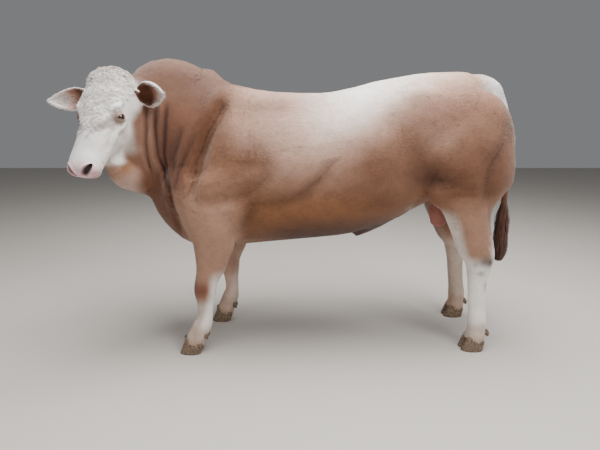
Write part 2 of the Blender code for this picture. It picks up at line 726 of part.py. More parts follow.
def tube(rows, **how):
    """A loft as a mesh of its own."""
    shape = bmesh.new()
    loft(shape, rows, **how)
    return to_mesh(shape)


def ball(centre, radii, segments=16, rings=10):
    shape = bmesh.new()
    matrix = Matrix.Translation(centre) @ Matrix.Diagonal((*radii, 1))
    bmesh.ops.create_uvsphere(shape, u_segments=segments, v_segments=rings, radius=1, matrix=matrix)
    return to_mesh(shape)


def clear_of(obj, neighbour):
    """Cuts the object back to a gap from a neighbour that it meets."""
    carve(obj, [swollen(neighbour.data, GAP * 1.5)])


def spot(place, p, q, r):
    """A point given in the head's own axes."""
    return place[:3, :3] @ np.array([p, q, r], float) + place[:3, 3]


def head_skin(head):
    """The head's surface, for finding where a line meets it."""
    shape = bmesh.new()
    shape.from_mesh(head.data)
    tree = BVHTree.FromBMesh(shape)
    shape.free()
    return tree


def on_skin(skin, points, lift=0.0):
    """The nearest skin points to these, lifted out along the skin's normal."""
    found = [skin.find_nearest(Vector(p))[:2] for p in points]
    return [np.array(where) + lift * np.array(normal) for where, normal in found]


def lids(place, q):
    """Upper and lower lid: tapered tubes bent over the eyeball from its inner corner to its outer one."""
    outward = unit(np.array([0.0, q * 0.93, 0.36]))
    inner = np.array([0.66, -q * 0.3, 0.68])
    inner = unit(inner - outward * (inner @ outward))
    upper = np.cross(outward, inner) * q
    meshes = []
    for lift, width in ((-0.60, 0.0065), (0.50, 0.0052)):
        rows = []
        for turn in np.linspace(0, math.pi, 7):
            arm = inner * math.cos(turn) * 1.25 + upper * lift * math.sin(turn)
            arm = arm + outward * (0.55 + 0.35 * math.sin(turn))
            centre = np.array([EYE[0], q * EYE[1], EYE[2]]) + unit(arm) * EYE_RADIUS * 1.10
            size = width * (0.55 + 0.45 * math.sin(turn))
            rows.append((*centre, size, size, size))
        meshes.append(tube(rows, ahead=outward, around=6, steps=7, cap=0.5, domes=1, place=place))
    return meshes


def nostril(skin, place, q):
    """The hollow of a nostril, a comma along the muzzle's skin, wider at its lower end."""
    line = on_skin(skin, [spot(place, p, q * w, r) for p, w, r in NOSTRIL])
    rows = [(*point, size, size, size) for point, size in zip(line, (0.019, 0.018, 0.014, 0.008))]
    return tube(rows, around=7, steps=6, cap=0.6, domes=1)


def mouth(skin, place):
    """The slit between the lips, from one corner round the front to the other."""
    points = [(p, -w, r) for p, w, r in MOUTH[:-1]] + [(p, w, r) for p, w, r in MOUTH[::-1]]
    line = on_skin(skin, [spot(place, *point) for point in points])
    rows = [(*point, 0.013, 0.0028, 0.0028) for point in line]
    return tube(rows, ahead=place[:3, 2], around=6, steps=13, cap=0.3, domes=1)


def depth_in_region(p, r):
    """How far a point is inside the head's region, from the edges where the neck begins."""
    corners = np.array(HEAD_REGION[:3])
    depths = []
    for a, b in zip(corners[:-1], corners[1:]):
        along = unit(b - a)
        depths.append((p - a[0]) * -along[1] + (r - a[1]) * along[0])
    return min(depths)


def curls(skin, place):
    """Rounded clumps set close over the poll and forehead, thinning out towards the eyes."""
    random = np.random.default_rng(4)
    meshes = []
    middle = np.array(CRANIUM)
    for row, tip in enumerate(np.arange(-58, 104, 20)):
        for swing in np.arange(-66, 67, 25) + (row % 2) * 12:
            a, b = np.radians([tip + random.uniform(-4, 4), swing + random.uniform(-4, 4)])
            way = np.array([-math.sin(a) * math.cos(b), math.sin(b), math.cos(a) * math.cos(b)])
            reach = place[:3, :3] @ way
            start = spot(place, *middle) + reach * 0.5
            where, normal, _, _ = skin.ray_cast(Vector(start), Vector(-reach))
            if where is None:
                continue
            turn = Vector(normal).to_track_quat("Z", "X").to_matrix().to_4x4()
            turn = turn @ Matrix.Rotation(random.uniform(0, math.pi), 4, "Z")
            size = CURL * random.uniform(0.85, 1.15)
            local = (np.array(where) - place[:3, 3]) @ place[:3, :3]
            if depth_in_region(local[0], local[2]) < size:
                continue
            matrix = Matrix.Translation(Vector(where) - Vector(normal) * size * 0.18) @ turn
            clump = bmesh.new()
            bmesh.ops.create_uvsphere(clump, u_segments=6, v_segments=4, radius=size,
                                      matrix=matrix @ Matrix.Diagonal((1.0, 0.80, 0.45, 1)))
            meshes.append(to_mesh(clump))
    return meshes


def make_head_parts(head):
    place = head_place()
    skin = head_skin(head)
    join(head, curls(skin, place) + lids(place, 1) + lids(place, -1))
    carve(head, [nostril(skin, place, 1), nostril(skin, place, -1), mouth(skin, place)])
    for q, name in ((1, "left"), (-1, "right")):
        centre = spot(place, EYE[0], q * EYE[1], EYE[2])
        carve(head, [ball(centre, [EYE_RADIUS * 1.025] * 3, 14, 9)])
        piece("eye_" + name, ball(centre, [EYE_RADIUS] * 3, 14, 9), (0.03, 0.02, 0.02), 0.1)
    for name, shape in EARS.items():
        ear = piece("ear_" + name, leaf(place, *shape), (0.85, 0.76, 0.68))
        clear_of(ear, head)


def make_feet(legs):
    for leg, (x, y, name) in zip(legs, FEET):
        for outward, which in ((-1, "outer" if y < 0 else "inner"), (1, "inner" if y < 0 else "outer")):
            piece(f"hoof_{name}_{which}", claw((x, y), outward), (0.25, 0.2, 0.16), 0.5)
            back = (x + (0.060 if "hind" in name else 0.068), y + outward * 0.022, 0.108)
            dew = piece(f"dewclaw_{name}_{which}", dewclaw(back), (0.25, 0.2, 0.16), 0.5)
            clear_of(dew, leg)


def make_tail(torso):
    rows = [(x, 0, z, w, w, w) for x, z, w in TAIL]
    whole = tube(rows, ahead=(1, 0, 0), around=10, steps=14, cap=0.3, domes=2)
    tail = piece("tail", whole, (0.85, 0.76, 0.68))
    clear_of(tail, torso)
    carve(tail, [block((1.2, 0, SWITCH_TOP - 0.5), np.eye(3), (0.5, 0.5, 0.5 + GAP / 2))])
    core = tube(SWITCH, ahead=(1, 0, 0), around=8, steps=7, cap=0.4, domes=1)
    switch = piece("tail_switch", core, (0.2, 0.11, 0.08))
    join(switch, switch_locks())
    carve(switch, [block((1.2, 0, SWITCH_TOP + 0.5), np.eye(3), (0.5, 0.5, 0.5 + GAP / 2))])


def switch_locks():
    """Flat tapered locks that leave the tail's core in a spiral, hang past one another and bend in."""
    random = np.random.default_rng(7)
    meshes = []
    for k in range(SWITCH_LOCKS):
        angle = k * math.radians(137.5)
        start = SWITCH_TOP - 0.05 - 0.20 * (k / SWITCH_LOCKS)
        length = random.uniform(0.20, 0.26)
        away = np.array([math.cos(angle), math.sin(angle), 0])
        across = np.array([-away[1], away[0], 0])
        sway = random.uniform(-0.012, 0.012)
        rows = []
        for t, out, wide, thick in LOCK:
            bottom = max(start - length * t, SWITCH_END + 0.004 * (k % 4))
            point = np.array([SWITCH_AXIS, 0, bottom]) + away * out + across * sway * t * 2
            rows.append((*point, wide, thick, thick))
        meshes.append(tube(rows, ahead=away, around=5, steps=4, cap=0.4, domes=1))
    return meshes


def centre_on_floor(objects):
    """Moves the whole bull so that its box's middle is over the origin. Its soles are at zero already."""
    for obj in objects:
        obj.data.transform(Matrix.Translation((-MIDDLE[0], -MIDDLE[1], 0)))


def main():
    for obj in list(bpy.data.objects):
        bpy.data.objects.remove(obj)
    for name in (BULL, CUTTERS):
        bpy.context.scene.collection.children.link(bpy.data.collections.new(name))
    flesh = thin(lay_flesh(), FLESH_TRIANGLES)
    head_mesh, rest = halves(flesh, head_prism(-GAP / 2), head_prism(GAP / 2))
    ahead = np.array(NECK_CUT[0])
    turn = np.column_stack([ahead, (0, 1, 0), np.cross(ahead, (0, 1, 0))])
    foot = np.array(NECK_CUT[1])
    inner, outer = (block(foot + ahead * (1 + by), turn, (1.0, 1.0, 1.2)) for by in (GAP / 2, -GAP / 2))
    neck_mesh, trunk_mesh = halves(rest, inner, outer)
    head = piece("head", head_mesh, (0.86, 0.80, 0.74))
    piece("neck", neck_mesh, (0.45, 0.31, 0.24))
    torso = piece("torso", trunk_mesh, (0.75, 0.62, 0.53))
    legs = []
    for region, inner, name in ((FORELEG_REGION, 0.13, "fore"), (HINDLEG_REGION, 0.08, "hind")):
        for side, which in ((LEFT, "left"), (RIGHT, "right")):
            mesh = part_leg(torso, region, side, inner)
            legs.append(piece(f"{name}leg_{which}", mesh, (0.72, 0.58, 0.48)))
    tilt = np.array(Matrix.Rotation(math.atan(CORONET_SLOPE), 3, "Y"))
    drop = 0.2
    for leg, (x, y, _) in zip(legs, FEET):
        centre = np.array([x, y, CORONET_HEIGHT + GAP / 2]) - tilt[:, 2] * drop
        carve(leg, [block(centre, tilt, (0.3, 0.3, drop))])
    make_head_parts(head)
    make_feet(legs)
    make_tail(torso)
    pouch = tube(SCROTUM, ahead=(1, 0, 0), around=12, steps=8, cap=0.5, domes=3)
    scrotum = piece("scrotum", pouch, (0.4, 0.22, 0.18))
    clear_of(scrotum, torso)
    centre_on_floor(bpy.data.collections[BULL].objects)


if __name__ == "__main__":
    main()
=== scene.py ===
"""The looks of a life-size beef bull: skin with its markings, coat, curls, ears, eyes, hooves and tail hair.

Metres, +Z up. The bull faces -X and its left flank faces -Y. The tables are in the maker's working axes,
which have the middle of the chest over the origin; SHIFT carries them to the frame. A head point is given as
p down the face, q to the head's left and r out of the forehead.
"""

import math

import bmesh
import bpy
import numpy as np
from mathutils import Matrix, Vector
from mathutils.bvhtree import BVHTree


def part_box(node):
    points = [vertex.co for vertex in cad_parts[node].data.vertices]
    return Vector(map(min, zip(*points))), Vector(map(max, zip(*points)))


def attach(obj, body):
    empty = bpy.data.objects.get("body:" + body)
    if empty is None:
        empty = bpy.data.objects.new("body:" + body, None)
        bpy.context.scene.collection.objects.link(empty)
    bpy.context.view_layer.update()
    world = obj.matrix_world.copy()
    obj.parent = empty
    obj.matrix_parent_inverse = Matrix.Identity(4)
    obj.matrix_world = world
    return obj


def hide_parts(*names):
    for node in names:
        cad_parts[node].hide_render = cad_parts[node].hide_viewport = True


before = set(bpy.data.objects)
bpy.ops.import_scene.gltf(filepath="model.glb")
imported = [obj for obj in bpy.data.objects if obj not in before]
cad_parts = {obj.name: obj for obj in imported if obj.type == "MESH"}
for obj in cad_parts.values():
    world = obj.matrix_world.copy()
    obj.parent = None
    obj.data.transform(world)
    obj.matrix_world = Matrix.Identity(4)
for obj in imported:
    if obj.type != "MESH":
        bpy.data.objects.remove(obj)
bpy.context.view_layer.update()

LEFT = -1
RIGHT = 1

# Head: how it is turned and where its poll is
HEAD_YAW = 75
HEAD_PITCH = 55
POLL = (-0.981, -0.261, 1.507)
EYE = (0.198, 0.110, -0.081)
EYE_RADIUS = 0.021
CORNEA = 0.07

# Fineness of the clay in the first and the second fusing, and how far the skin lies inside the coat
ROUGH = 0.008
FINE = 0.0046
COAT = 0.004
SKIN_TRIANGLES = 150000

# The far legs stand a little behind the near ones: shift along the body, and outwards
FAR_FORE = {"shift": 0.10, "spread": -0.07}
FAR_HIND = {"shift": 0.05, "spread": 0.03}

# Middle of each foot's coronet, and its name
FEET = [
    (-0.600, -0.252, "fore_left"),
    (-0.500, 0.182, "fore_right"),
    (1.006, -0.220, "hind_left"),
    (1.056, 0.250, "hind_right"),
]
CLAW_LENGTH = 0.115
CLAW_WIDTH = 0.052
CLAW_GAP = 0.008
CLAW_REACH = 0.022
CORONET_HEIGHT = 0.066
CORONET_SLOPE = 0.28
# Dewclaw: steps back and up from its middle, half width and half depth
DEWCLAW = [(-0.006, 0.018, 0.008, 0.008), (0, 0, 0.0145, 0.014), (0.006, -0.014, 0.011, 0.010),
           (0.008, -0.020, 0.006, 0.006)]

# The line down which the switch hangs
SWITCH_X = 1.2055

# How many clumps and locks there are
CURL_CLUMPS = 900
CURLS_EACH = 7
EAR_HAIRS = 3400
SWITCH_LOCKS = 430
SHEATH_HAIRS = 60
FRINGE_HAIRS = 420

# The photo's camera in the working axes: place, tilt down in degrees, lens and film width in mm
CAMERA = (0, -2.53, 1.24)
CAMERA_TILT = 12.4
LENS = 26.0
FILM = 36.0

# Trunk sections: x, y, height of the widest level, half width, rise to the back, drop to the belly
TRUNK = [
    (1.09, 0, 1.24, 0.12, 0.245, 0.24),
    (1.04, 0, 1.22, 0.19, 0.305, 0.30),
    (0.96, 0, 1.20, 0.25, 0.350, 0.34),
    (0.85, 0, 1.20, 0.285, 0.355, 0.36),
    (0.70, 0, 1.18, 0.300, 0.370, 0.335),
    (0.55, 0, 1.13, 0.315, 0.398, 0.355),
    (0.40, 0, 1.08, 0.340, 0.407, 0.385),
    (0.20, 0, 1.03, 0.365, 0.420, 0.395),
    (0.00, 0, 1.01, 0.380, 0.435, 0.395),
    (-0.20, 0, 1.00, 0.370, 0.458, 0.405),
    (-0.40, 0, 1.00, 0.340, 0.490, 0.425),
    (-0.58, 0, 1.02, 0.300, 0.460, 0.440),
    (-0.72, 0, 1.04, 0.240, 0.440, 0.350),
    (-0.82, 0, 1.06, 0.170, 0.330, 0.200),
]

# Neck sections, from the shoulders to the back of the head
NECK = [
    (-0.36, 0.00, 1.08, 0.28, 0.39, 0.42),
    (-0.54, 0.00, 1.13, 0.275, 0.40, 0.46),
    (-0.70, -0.01, 1.20, 0.245, 0.43, 0.355),
    (-0.82, -0.05, 1.28, 0.210, 0.36, 0.34),
    (-0.90, -0.11, 1.34, 0.178, 0.26, 0.24),
    (-0.930, -0.16, 1.38, 0.145, 0.16, 0.18),
]

# The skin fold under the throat, down to the brisket
DEWLAP = [
    (-0.972, -0.300, 1.100, 0.032, 0.040, 0.040),
    (-0.935, -0.250, 1.010, 0.050, 0.062, 0.070),
    (-0.870, -0.190, 0.965, 0.052, 0.070, 0.075),
    (-0.810, -0.130, 0.935, 0.056, 0.070, 0.085),
    (-0.760, -0.080, 0.870, 0.064, 0.068, 0.100),
    (-0.710, -0.030, 0.770, 0.075, 0.085, 0.115),
]

# The sheath under the belly
SHEATH = [
    (0.56, 0, 0.745, 0.035, 0.05, 0.03),
    (0.46, 0, 0.690, 0.038, 0.05, 0.03),
    (0.38, 0, 0.655, 0.036, 0.05, 0.032),
    (0.325, 0, 0.625, 0.024, 0.03, 0.026),
]

# Leg sections down from the upper arm and the thigh: x, sideways shift, z, half width, front, back
FORELEG = [
    (-0.50, 0.27, 0.98, 0.10, 0.15, 0.15),
    (-0.485, 0.275, 0.80, 0.095, 0.15, 0.135),
    (-0.475, 0.27, 0.70, 0.088, 0.125, 0.125),
    (-0.470, 0.268, 0.635, 0.080, 0.112, 0.125),
    (-0.478, 0.265, 0.57, 0.070, 0.100, 0.100),
    (-0.487, 0.262, 0.51, 0.062, 0.087, 0.088),
    (-0.502, 0.258, 0.45, 0.056, 0.076, 0.064),
    (-0.520, 0.256, 0.40, 0.060, 0.068, 0.060),
    (-0.525, 0.255, 0.35, 0.058, 0.064, 0.058),
    (-0.528, 0.254, 0.30, 0.045, 0.050, 0.048),
    (-0.530, 0.253, 0.25, 0.038, 0.046, 0.045),
    (-0.535, 0.252, 0.205, 0.038, 0.045, 0.046),
    (-0.550, 0.252, 0.165, 0.050, 0.054, 0.056),
    (-0.575, 0.252, 0.12, 0.050, 0.050, 0.055),
    (-0.592, 0.252, 0.085, 0.056, 0.055, 0.060),
    (-0.600, 0.252, 0.065, 0.056, 0.055, 0.060),
]
HINDLEG = [
    (0.88, 0.19, 1.22, 0.13, 0.19, 0.24),
    (0.88, 0.225, 1.05, 0.140, 0.22, 0.26),
    (0.87, 0.235, 0.93, 0.125, 0.19, 0.245),
    (0.885, 0.240, 0.83, 0.105, 0.122, 0.175),
    (0.925, 0.240, 0.732, 0.085, 0.118, 0.112),
    (0.955, 0.235, 0.66, 0.070, 0.118, 0.100),
    (0.990, 0.230, 0.58, 0.061, 0.112, 0.088),
    (1.000, 0.225, 0.52, 0.060, 0.086, 0.076),
    (1.000, 0.222, 0.46, 0.052, 0.072, 0.060),
    (1.000, 0.220, 0.40, 0.044, 0.060, 0.050),
    (1.005, 0.220, 0.30, 0.040, 0.056, 0.048),
    (1.012, 0.220, 0.21, 0.042, 0.054, 0.050),
    (1.014, 0.220, 0.165, 0.052, 0.056, 0.056),
    (1.012, 0.220, 0.12, 0.050, 0.050, 0.055),
    (1.008, 0.220, 0.085, 0.056, 0.055, 0.060),
    (1.006, 0.220, 0.065, 0.056, 0.055, 0.060),
]

# Head sections down the face: p, q, r, half width, height, depth
SKULL = [
    (-0.02, 0, -0.105, 0.108, 0.080, 0.09),
    (0.03, 0, -0.110, 0.134, 0.106, 0.13),
    (0.09, 0, -0.120, 0.136, 0.120, 0.15),
    (0.15, 0, -0.122, 0.130, 0.120, 0.152),
    (0.20, 0, -0.121, 0.121, 0.114, 0.148),
    (0.26, 0, -0.117, 0.105, 0.103, 0.13),
    (0.33, 0, -0.110, 0.090, 0.087, 0.105),
    (0.40, 0, -0.102, 0.081, 0.076, 0.078),
    (0.455, 0, -0.098, 0.082, 0.068, 0.062),
    (0.485, 0, -0.095, 0.080, 0.056, 0.052),
]
JAW = [
    (0.12, 0, -0.232, 0.080, 0.05, 0.062),
    (0.21, 0, -0.220, 0.074, 0.05, 0.052),
    (0.30, 0, -0.190, 0.062, 0.04, 0.042),
    (0.39, 0, -0.162, 0.052, 0.035, 0.033),
    (0.46, 0, -0.147, 0.048, 0.03, 0.025),
]
CHEEKBONE = [(0.185, 0.114, -0.108, 0.018), (0.25, 0.104, -0.112, 0.018), (0.32, 0.086, -0.112, 0.013)]

# The two ears are held differently: root, axis, way they open, length and width
EARS = {
    "left": ((0.045, 0.146, -0.098), (0.13, 0.98, 0.13), (0.735, -0.166, 0.614), 0.190, 0.130),
    "right": ((0.048, -0.136, -0.105), (0.14, -0.95, 0.03), (0.35, 0.15, 0.92), 0.240, 0.124),
}
EAR_WALL = 0.010

# Tail down to the switch: x, z and half width, as rows for a loft
TAIL = [(x, 0, z, half, half, half) for x, z, half in (
    (0.98, 1.482, 0.052), (1.04, 1.469, 0.051), (1.095, 1.430, 0.044),
    (1.138, 1.355, 0.036), (1.175, 1.240, 0.030), (1.200, 1.10, 0.025),
    (1.205, 0.95, 0.022), (1.205, 0.80, 0.020), (1.205, 0.66, 0.013),
)]
SCROTUM = [
    (0.80, 0, 0.90, 0.040, 0.045, 0.045),
    (0.812, 0, 0.83, 0.042, 0.045, 0.045),
    (0.820, 0, 0.76, 0.056, 0.054, 0.054),
    (0.823, 0, 0.70, 0.048, 0.044, 0.044),
]

# Broad furrows of both flanks, as seen from the side: points x, z, then width and depth
FURROWS = [
    ([(-0.40, 1.36), (-0.46, 1.26), (-0.50, 1.15), (-0.53, 1.02), (-0.56, 0.92)], 0.030, 0.022),
    ([(-0.27, 1.30), (-0.24, 1.14), (-0.25, 0.98), (-0.30, 0.88)], 0.050, 0.016),
    ([(-0.52, 0.88), (-0.45, 0.86), (-0.38, 0.885)], 0.022, 0.012),
    ([(0.14, 1.00), (0.05, 0.90), (-0.05, 0.84), (-0.24, 0.80)], 0.045, 0.012),
    ([(0.46, 1.26), (0.52, 1.14), (0.56, 1.02)], 0.075, 0.022),
    ([(0.62, 0.80), (0.70, 1.02), (0.80, 1.14)], 0.040, 0.012),
]

# Finer folds and edges of muscle: points x, z, width, depth and the side they are on, 0 for both
FOLDS = [
    ([(-0.79, 1.40), (-0.79, 1.24), (-0.80, 1.17), (-0.80, 1.10), (-0.79, 0.98)], 0.011, 0.015, LEFT),
    ([(-0.75, 1.42), (-0.75, 1.24), (-0.745, 1.17), (-0.745, 1.10), (-0.72, 1.02), (-0.69, 0.90)],
     0.013, 0.022, LEFT),
    ([(-0.69, 1.40), (-0.70, 1.24), (-0.71, 1.12), (-0.705, 1.03), (-0.685, 0.97), (-0.67, 0.86)],
     0.013, 0.018, LEFT),
    ([(-0.60, 1.28), (-0.63, 1.17), (-0.66, 1.09), (-0.67, 0.96)], 0.018, 0.011, LEFT),
    ([(-0.53, 1.24), (-0.58, 1.12), (-0.63, 1.03), (-0.64, 0.90)], 0.020, 0.010, LEFT),
    ([(-0.34, 1.43), (-0.41, 1.29), (-0.45, 1.23), (-0.48, 1.17), (-0.52, 1.09), (-0.54, 1.01),
      (-0.58, 0.88)], 0.026, 0.018, 0),
    ([(-0.68, 0.94), (-0.67, 0.83), (-0.66, 0.72), (-0.62, 0.61)], 0.018, 0.014, 0),
    ([(-0.17, 1.11), (-0.17, 1.01), (-0.23, 0.94), (-0.33, 0.905), (-0.45, 0.92)], 0.034, 0.010, 0),
    ([(-0.22, 0.90), (-0.28, 0.78), (-0.33, 0.66)], 0.026, 0.010, 0),
    ([(0.20, 1.13), (0.11, 1.01), (0.04, 0.94), (-0.05, 0.89), (-0.15, 0.87), (-0.30, 0.85)],
     0.026, 0.013, 0),
    ([(0.74, 1.27), (0.64, 1.19), (0.61, 1.12), (0.64, 1.00)], 0.045, 0.010, 0),
    ([(1.05, 1.22), (0.99, 1.12), (0.95, 1.06), (0.94, 0.99), (0.96, 0.84)], 0.026, 0.011, 0),
    ([(0.70, 0.93), (0.80, 0.955), (0.90, 0.945)], 0.012, 0.004, 0),
    ([(0.74, 0.90), (0.84, 0.92), (0.93, 0.905)], 0.012, 0.004, 0),
    ([(0.97, 0.94), (1.00, 0.80), (1.03, 0.70), (1.035, 0.60)], 0.020, 0.008, 0),
    ([(-0.30, 1.355), (-0.17, 1.352), (-0.04, 1.35)], 0.030, 0.008, 0),
    ([(-0.18, 1.24), (-0.10, 1.21), (-0.02, 1.23)], 0.010, 0.002, 0),
    ([(-0.18, 1.20), (-0.09, 1.17), (0.00, 1.19)], 0.010, 0.002, 0),
    ([(-0.17, 1.16), (-0.08, 1.13), (0.02, 1.16)], 0.010, 0.002, 0),
]
# Muscles that swell and hollows between them, on both sides: middle x, z, half sizes along x and z, height
FORMS = [
    (-0.43, 0.99, 0.085, 0.085, 0.010),
    (-0.40, 0.80, 0.100, 0.110, 0.009),
    (-0.50, 0.88, 0.050, 0.100, 0.006),
    (-0.26, 1.08, 0.110, 0.045, -0.014),
    (-0.05, 1.02, 0.130, 0.090, 0.008),
    (-0.28, 1.22, 0.120, 0.080, 0.008),
    (0.80, 1.12, 0.150, 0.130, 0.012),
    (0.69, 0.985, 0.110, 0.045, -0.014),
    (0.53, 1.12, 0.050, 0.160, -0.012),
    (1.02, 1.02, 0.050, 0.140, 0.008),
    (0.66, 0.90, 0.060, 0.050, 0.008),
    (0.60, 1.36, 0.100, 0.050, 0.006),
    (0.80, 1.36, 0.140, 0.050, -0.006),
]

# Broad soft shade of the hollows and under the muscles: middle x, z, half sizes along x and z, and amount
SHADES = [
    (-0.27, 1.07, 0.11, 0.045, 0.30),
    (-0.42, 0.895, 0.15, 0.030, 0.28),
    (-0.27, 0.80, 0.045, 0.11, 0.30),
    (-0.68, 1.12, 0.07, 0.24, 0.34),
    (-0.48, 1.22, 0.05, 0.16, 0.20),
    (0.05, 0.92, 0.16, 0.035, 0.18),
    (0.40, 1.08, 0.10, 0.14, 0.16),
    (0.70, 0.985, 0.12, 0.050, 0.36),
    (0.84, 1.12, 0.20, 0.10, 0.16),
    (0.98, 1.06, 0.06, 0.16, 0.22),
    (0.88, 0.93, 0.14, 0.035, 0.18),
    (0.58, 1.22, 0.04, 0.10, 0.12),
    (-0.15, 1.35, 0.20, 0.065, 0.42),
    (-0.53, 1.48, 0.12, 0.080, 0.32),
    (0.42, 0.86, 0.16, 0.065, 0.42),
    (0.83, 1.28, 0.18, 0.09, 0.30),
    (1.05, 1.12, 0.08, 0.14, 0.26),
]

# Dirt round the left hock: middle x, z, half sizes along x and z, and amount
HOCK_DIRT = [
    (1.000, 0.540, 0.036, 0.032, 0.75),
    (1.035, 0.535, 0.022, 0.032, 0.9),
    (1.060, 0.625, 0.014, 0.022, 0.8),
    (0.990, 0.470, 0.020, 0.016, 0.5),
    (0.955, 0.520, 0.014, 0.020, 0.4),
    (1.030, 0.395, 0.016, 0.020, 0.4),
]

# Folds of the face in the head's own axes: points p, q, r, width and depth; each is on both sides
FACE_FOLDS = [
    ([(0.205, 0.112, -0.078), (0.225, 0.104, -0.070), (0.248, 0.090, -0.052), (0.280, 0.066, -0.040),
      (0.300, 0.050, -0.036)], 0.015, 0.013),
    ([(0.163, 0.116, -0.058), (0.180, 0.111, -0.040), (0.208, 0.100, -0.044)], 0.008, 0.007),
    ([(0.185, 0.130, -0.118), (0.215, 0.126, -0.110), (0.240, 0.114, -0.096)], 0.008, 0.006),
    ([(0.272, 0.110, -0.104), (0.262, 0.108, -0.150), (0.280, 0.096, -0.200)], 0.016, 0.007),
    ([(0.245, 0.095, -0.073), (0.310, 0.085, -0.100), (0.380, 0.078, -0.105)], 0.014, 0.006),
    ([(0.430, 0.078, -0.110), (0.445, 0.083, -0.130), (0.440, 0.074, -0.155)], 0.010, 0.005),
]
# Nostril: a comma on the front of the muzzle, as points p, q, r and a radius
NOSTRIL = [(0.513, 0.025, -0.086, 0.0115), (0.507, 0.040, -0.072, 0.0165), (0.496, 0.054, -0.065, 0.0135),
           (0.480, 0.064, -0.063, 0.0065)]
MOUTH = [(0.412, 0.075, -0.158), (0.457, 0.075, -0.148), (0.493, 0.052, -0.140), (0.507, 0.0, -0.138)]


def smooth_rows(rows, steps):
    """The rows' numbers carried along a Catmull-Rom curve, in this many even steps."""
    rows = np.array(rows, float)
    padded = np.vstack([2 * rows[0] - rows[1], rows, 2 * rows[-1] - rows[-2]])
    place = np.linspace(0, len(rows) - 1, steps)
    index = np.minimum(place.astype(int), len(rows) - 2)
    t = (place - index)[:, None]
    a, b, c, d = (padded[index + k] for k in range(4))
    return 0.5 * (2 * b + (c - a) * t + (2 * a - 5 * b + 4 * c - d) * t**2 + (3 * b - a - 3 * c + d) * t**3)


def unit(v):
    return v / np.maximum(np.linalg.norm(v, axis=-1, keepdims=True), 1e-9)


def swell(x, low, high):
    """Rises smoothly from 0 at low to 1 at high: t squared times three less twice t."""
    t = np.clip((x - low) / (high - low), 0, 1)
    return t * t * (3 - 2 * t)


def fall(x, low, high):
    """Falls smoothly from 1 at low to 0 at high."""
    return 1 - swell(x, low, high)


def bell(gap, width):
    """Falls from 1 in the middle: the exponential of minus the squared gap in widths."""
    return np.exp(-(gap / width) ** 2)


def gap_from(points, place):
    """Distance of each point from a place."""
    return np.linalg.norm(points - place, axis=1)


def circle(count):
    """Angles of this many even steps once round."""
    return np.linspace(0, 2 * math.pi, count, endpoint=False)


def head_place():
    """The head's own axes: p down the face, q to its left, r out of the forehead, and its poll."""
    yaw, pitch = math.radians(HEAD_YAW), math.radians(HEAD_PITCH)
    forward = np.array([-math.cos(yaw), -math.sin(yaw), 0])
    left = np.array([math.sin(yaw), -math.cos(yaw), 0])
    up = np.array([0, 0, 1])
    place = np.eye(4)
    place[:3, 0] = math.cos(pitch) * forward - math.sin(pitch) * up
    place[:3, 1] = left
    place[:3, 2] = math.sin(pitch) * forward + math.cos(pitch) * up
    place[:3, 3] = POLL
    return place


PLACE = head_place()
TURN = PLACE[:3, :3]


def to_head(points):
    return (points - PLACE[:3, 3]) @ TURN


def to_half(points):
    """Points in the head's axes, with its right side laid over its left."""
    local = to_head(points)
    local[:, 1] = np.abs(local[:, 1])
    return local


def from_head(points):
    return np.asarray(points, float) @ TURN.T + PLACE[:3, 3]


# The eye's middle in the frame, less its place in the working axes, carries everything to the frame
EYE_LOW, EYE_HIGH = (np.array(corner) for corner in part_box("eye_left"))
SHIFT = (EYE_LOW + EYE_HIGH) / 2 - from_head(EYE)


def halved(a, b, c, d):
    """Two triangles for each four-sided face, from arrays of its corners."""
    return np.vstack([np.stack([a, b, c], -1).reshape(-1, 3), np.stack([a, c, d], -1).reshape(-1, 3)])


def ring_faces(rows, around):
    """Triangles of a closed tube of rings with a pole at each end; the poles are the last two points."""
    ring, step = np.meshgrid(np.arange(rows - 1), np.arange(around), indexing="ij")
    a = ring * around + step
    b = ring * around + (step + 1) % around
    k = np.arange(around)
    last = (rows - 1) * around
    start, end = rows * around, rows * around + 1
    return np.vstack([halved(a, b, b + around, a + around),
                      np.stack([np.full(around, start), (k + 1) % around, k], -1),
                      np.stack([np.full(around, end), last + k, last + (k + 1) % around], -1)])


def outward(points, faces):
    """The faces turned to point outwards: their signed volume is positive."""
    a, b, c = (points[faces[:, k]] for k in range(3))
    volume = np.einsum("ij,ij->", a, np.cross(b, c))
    return faces if volume > 0 else faces[:, ::-1]


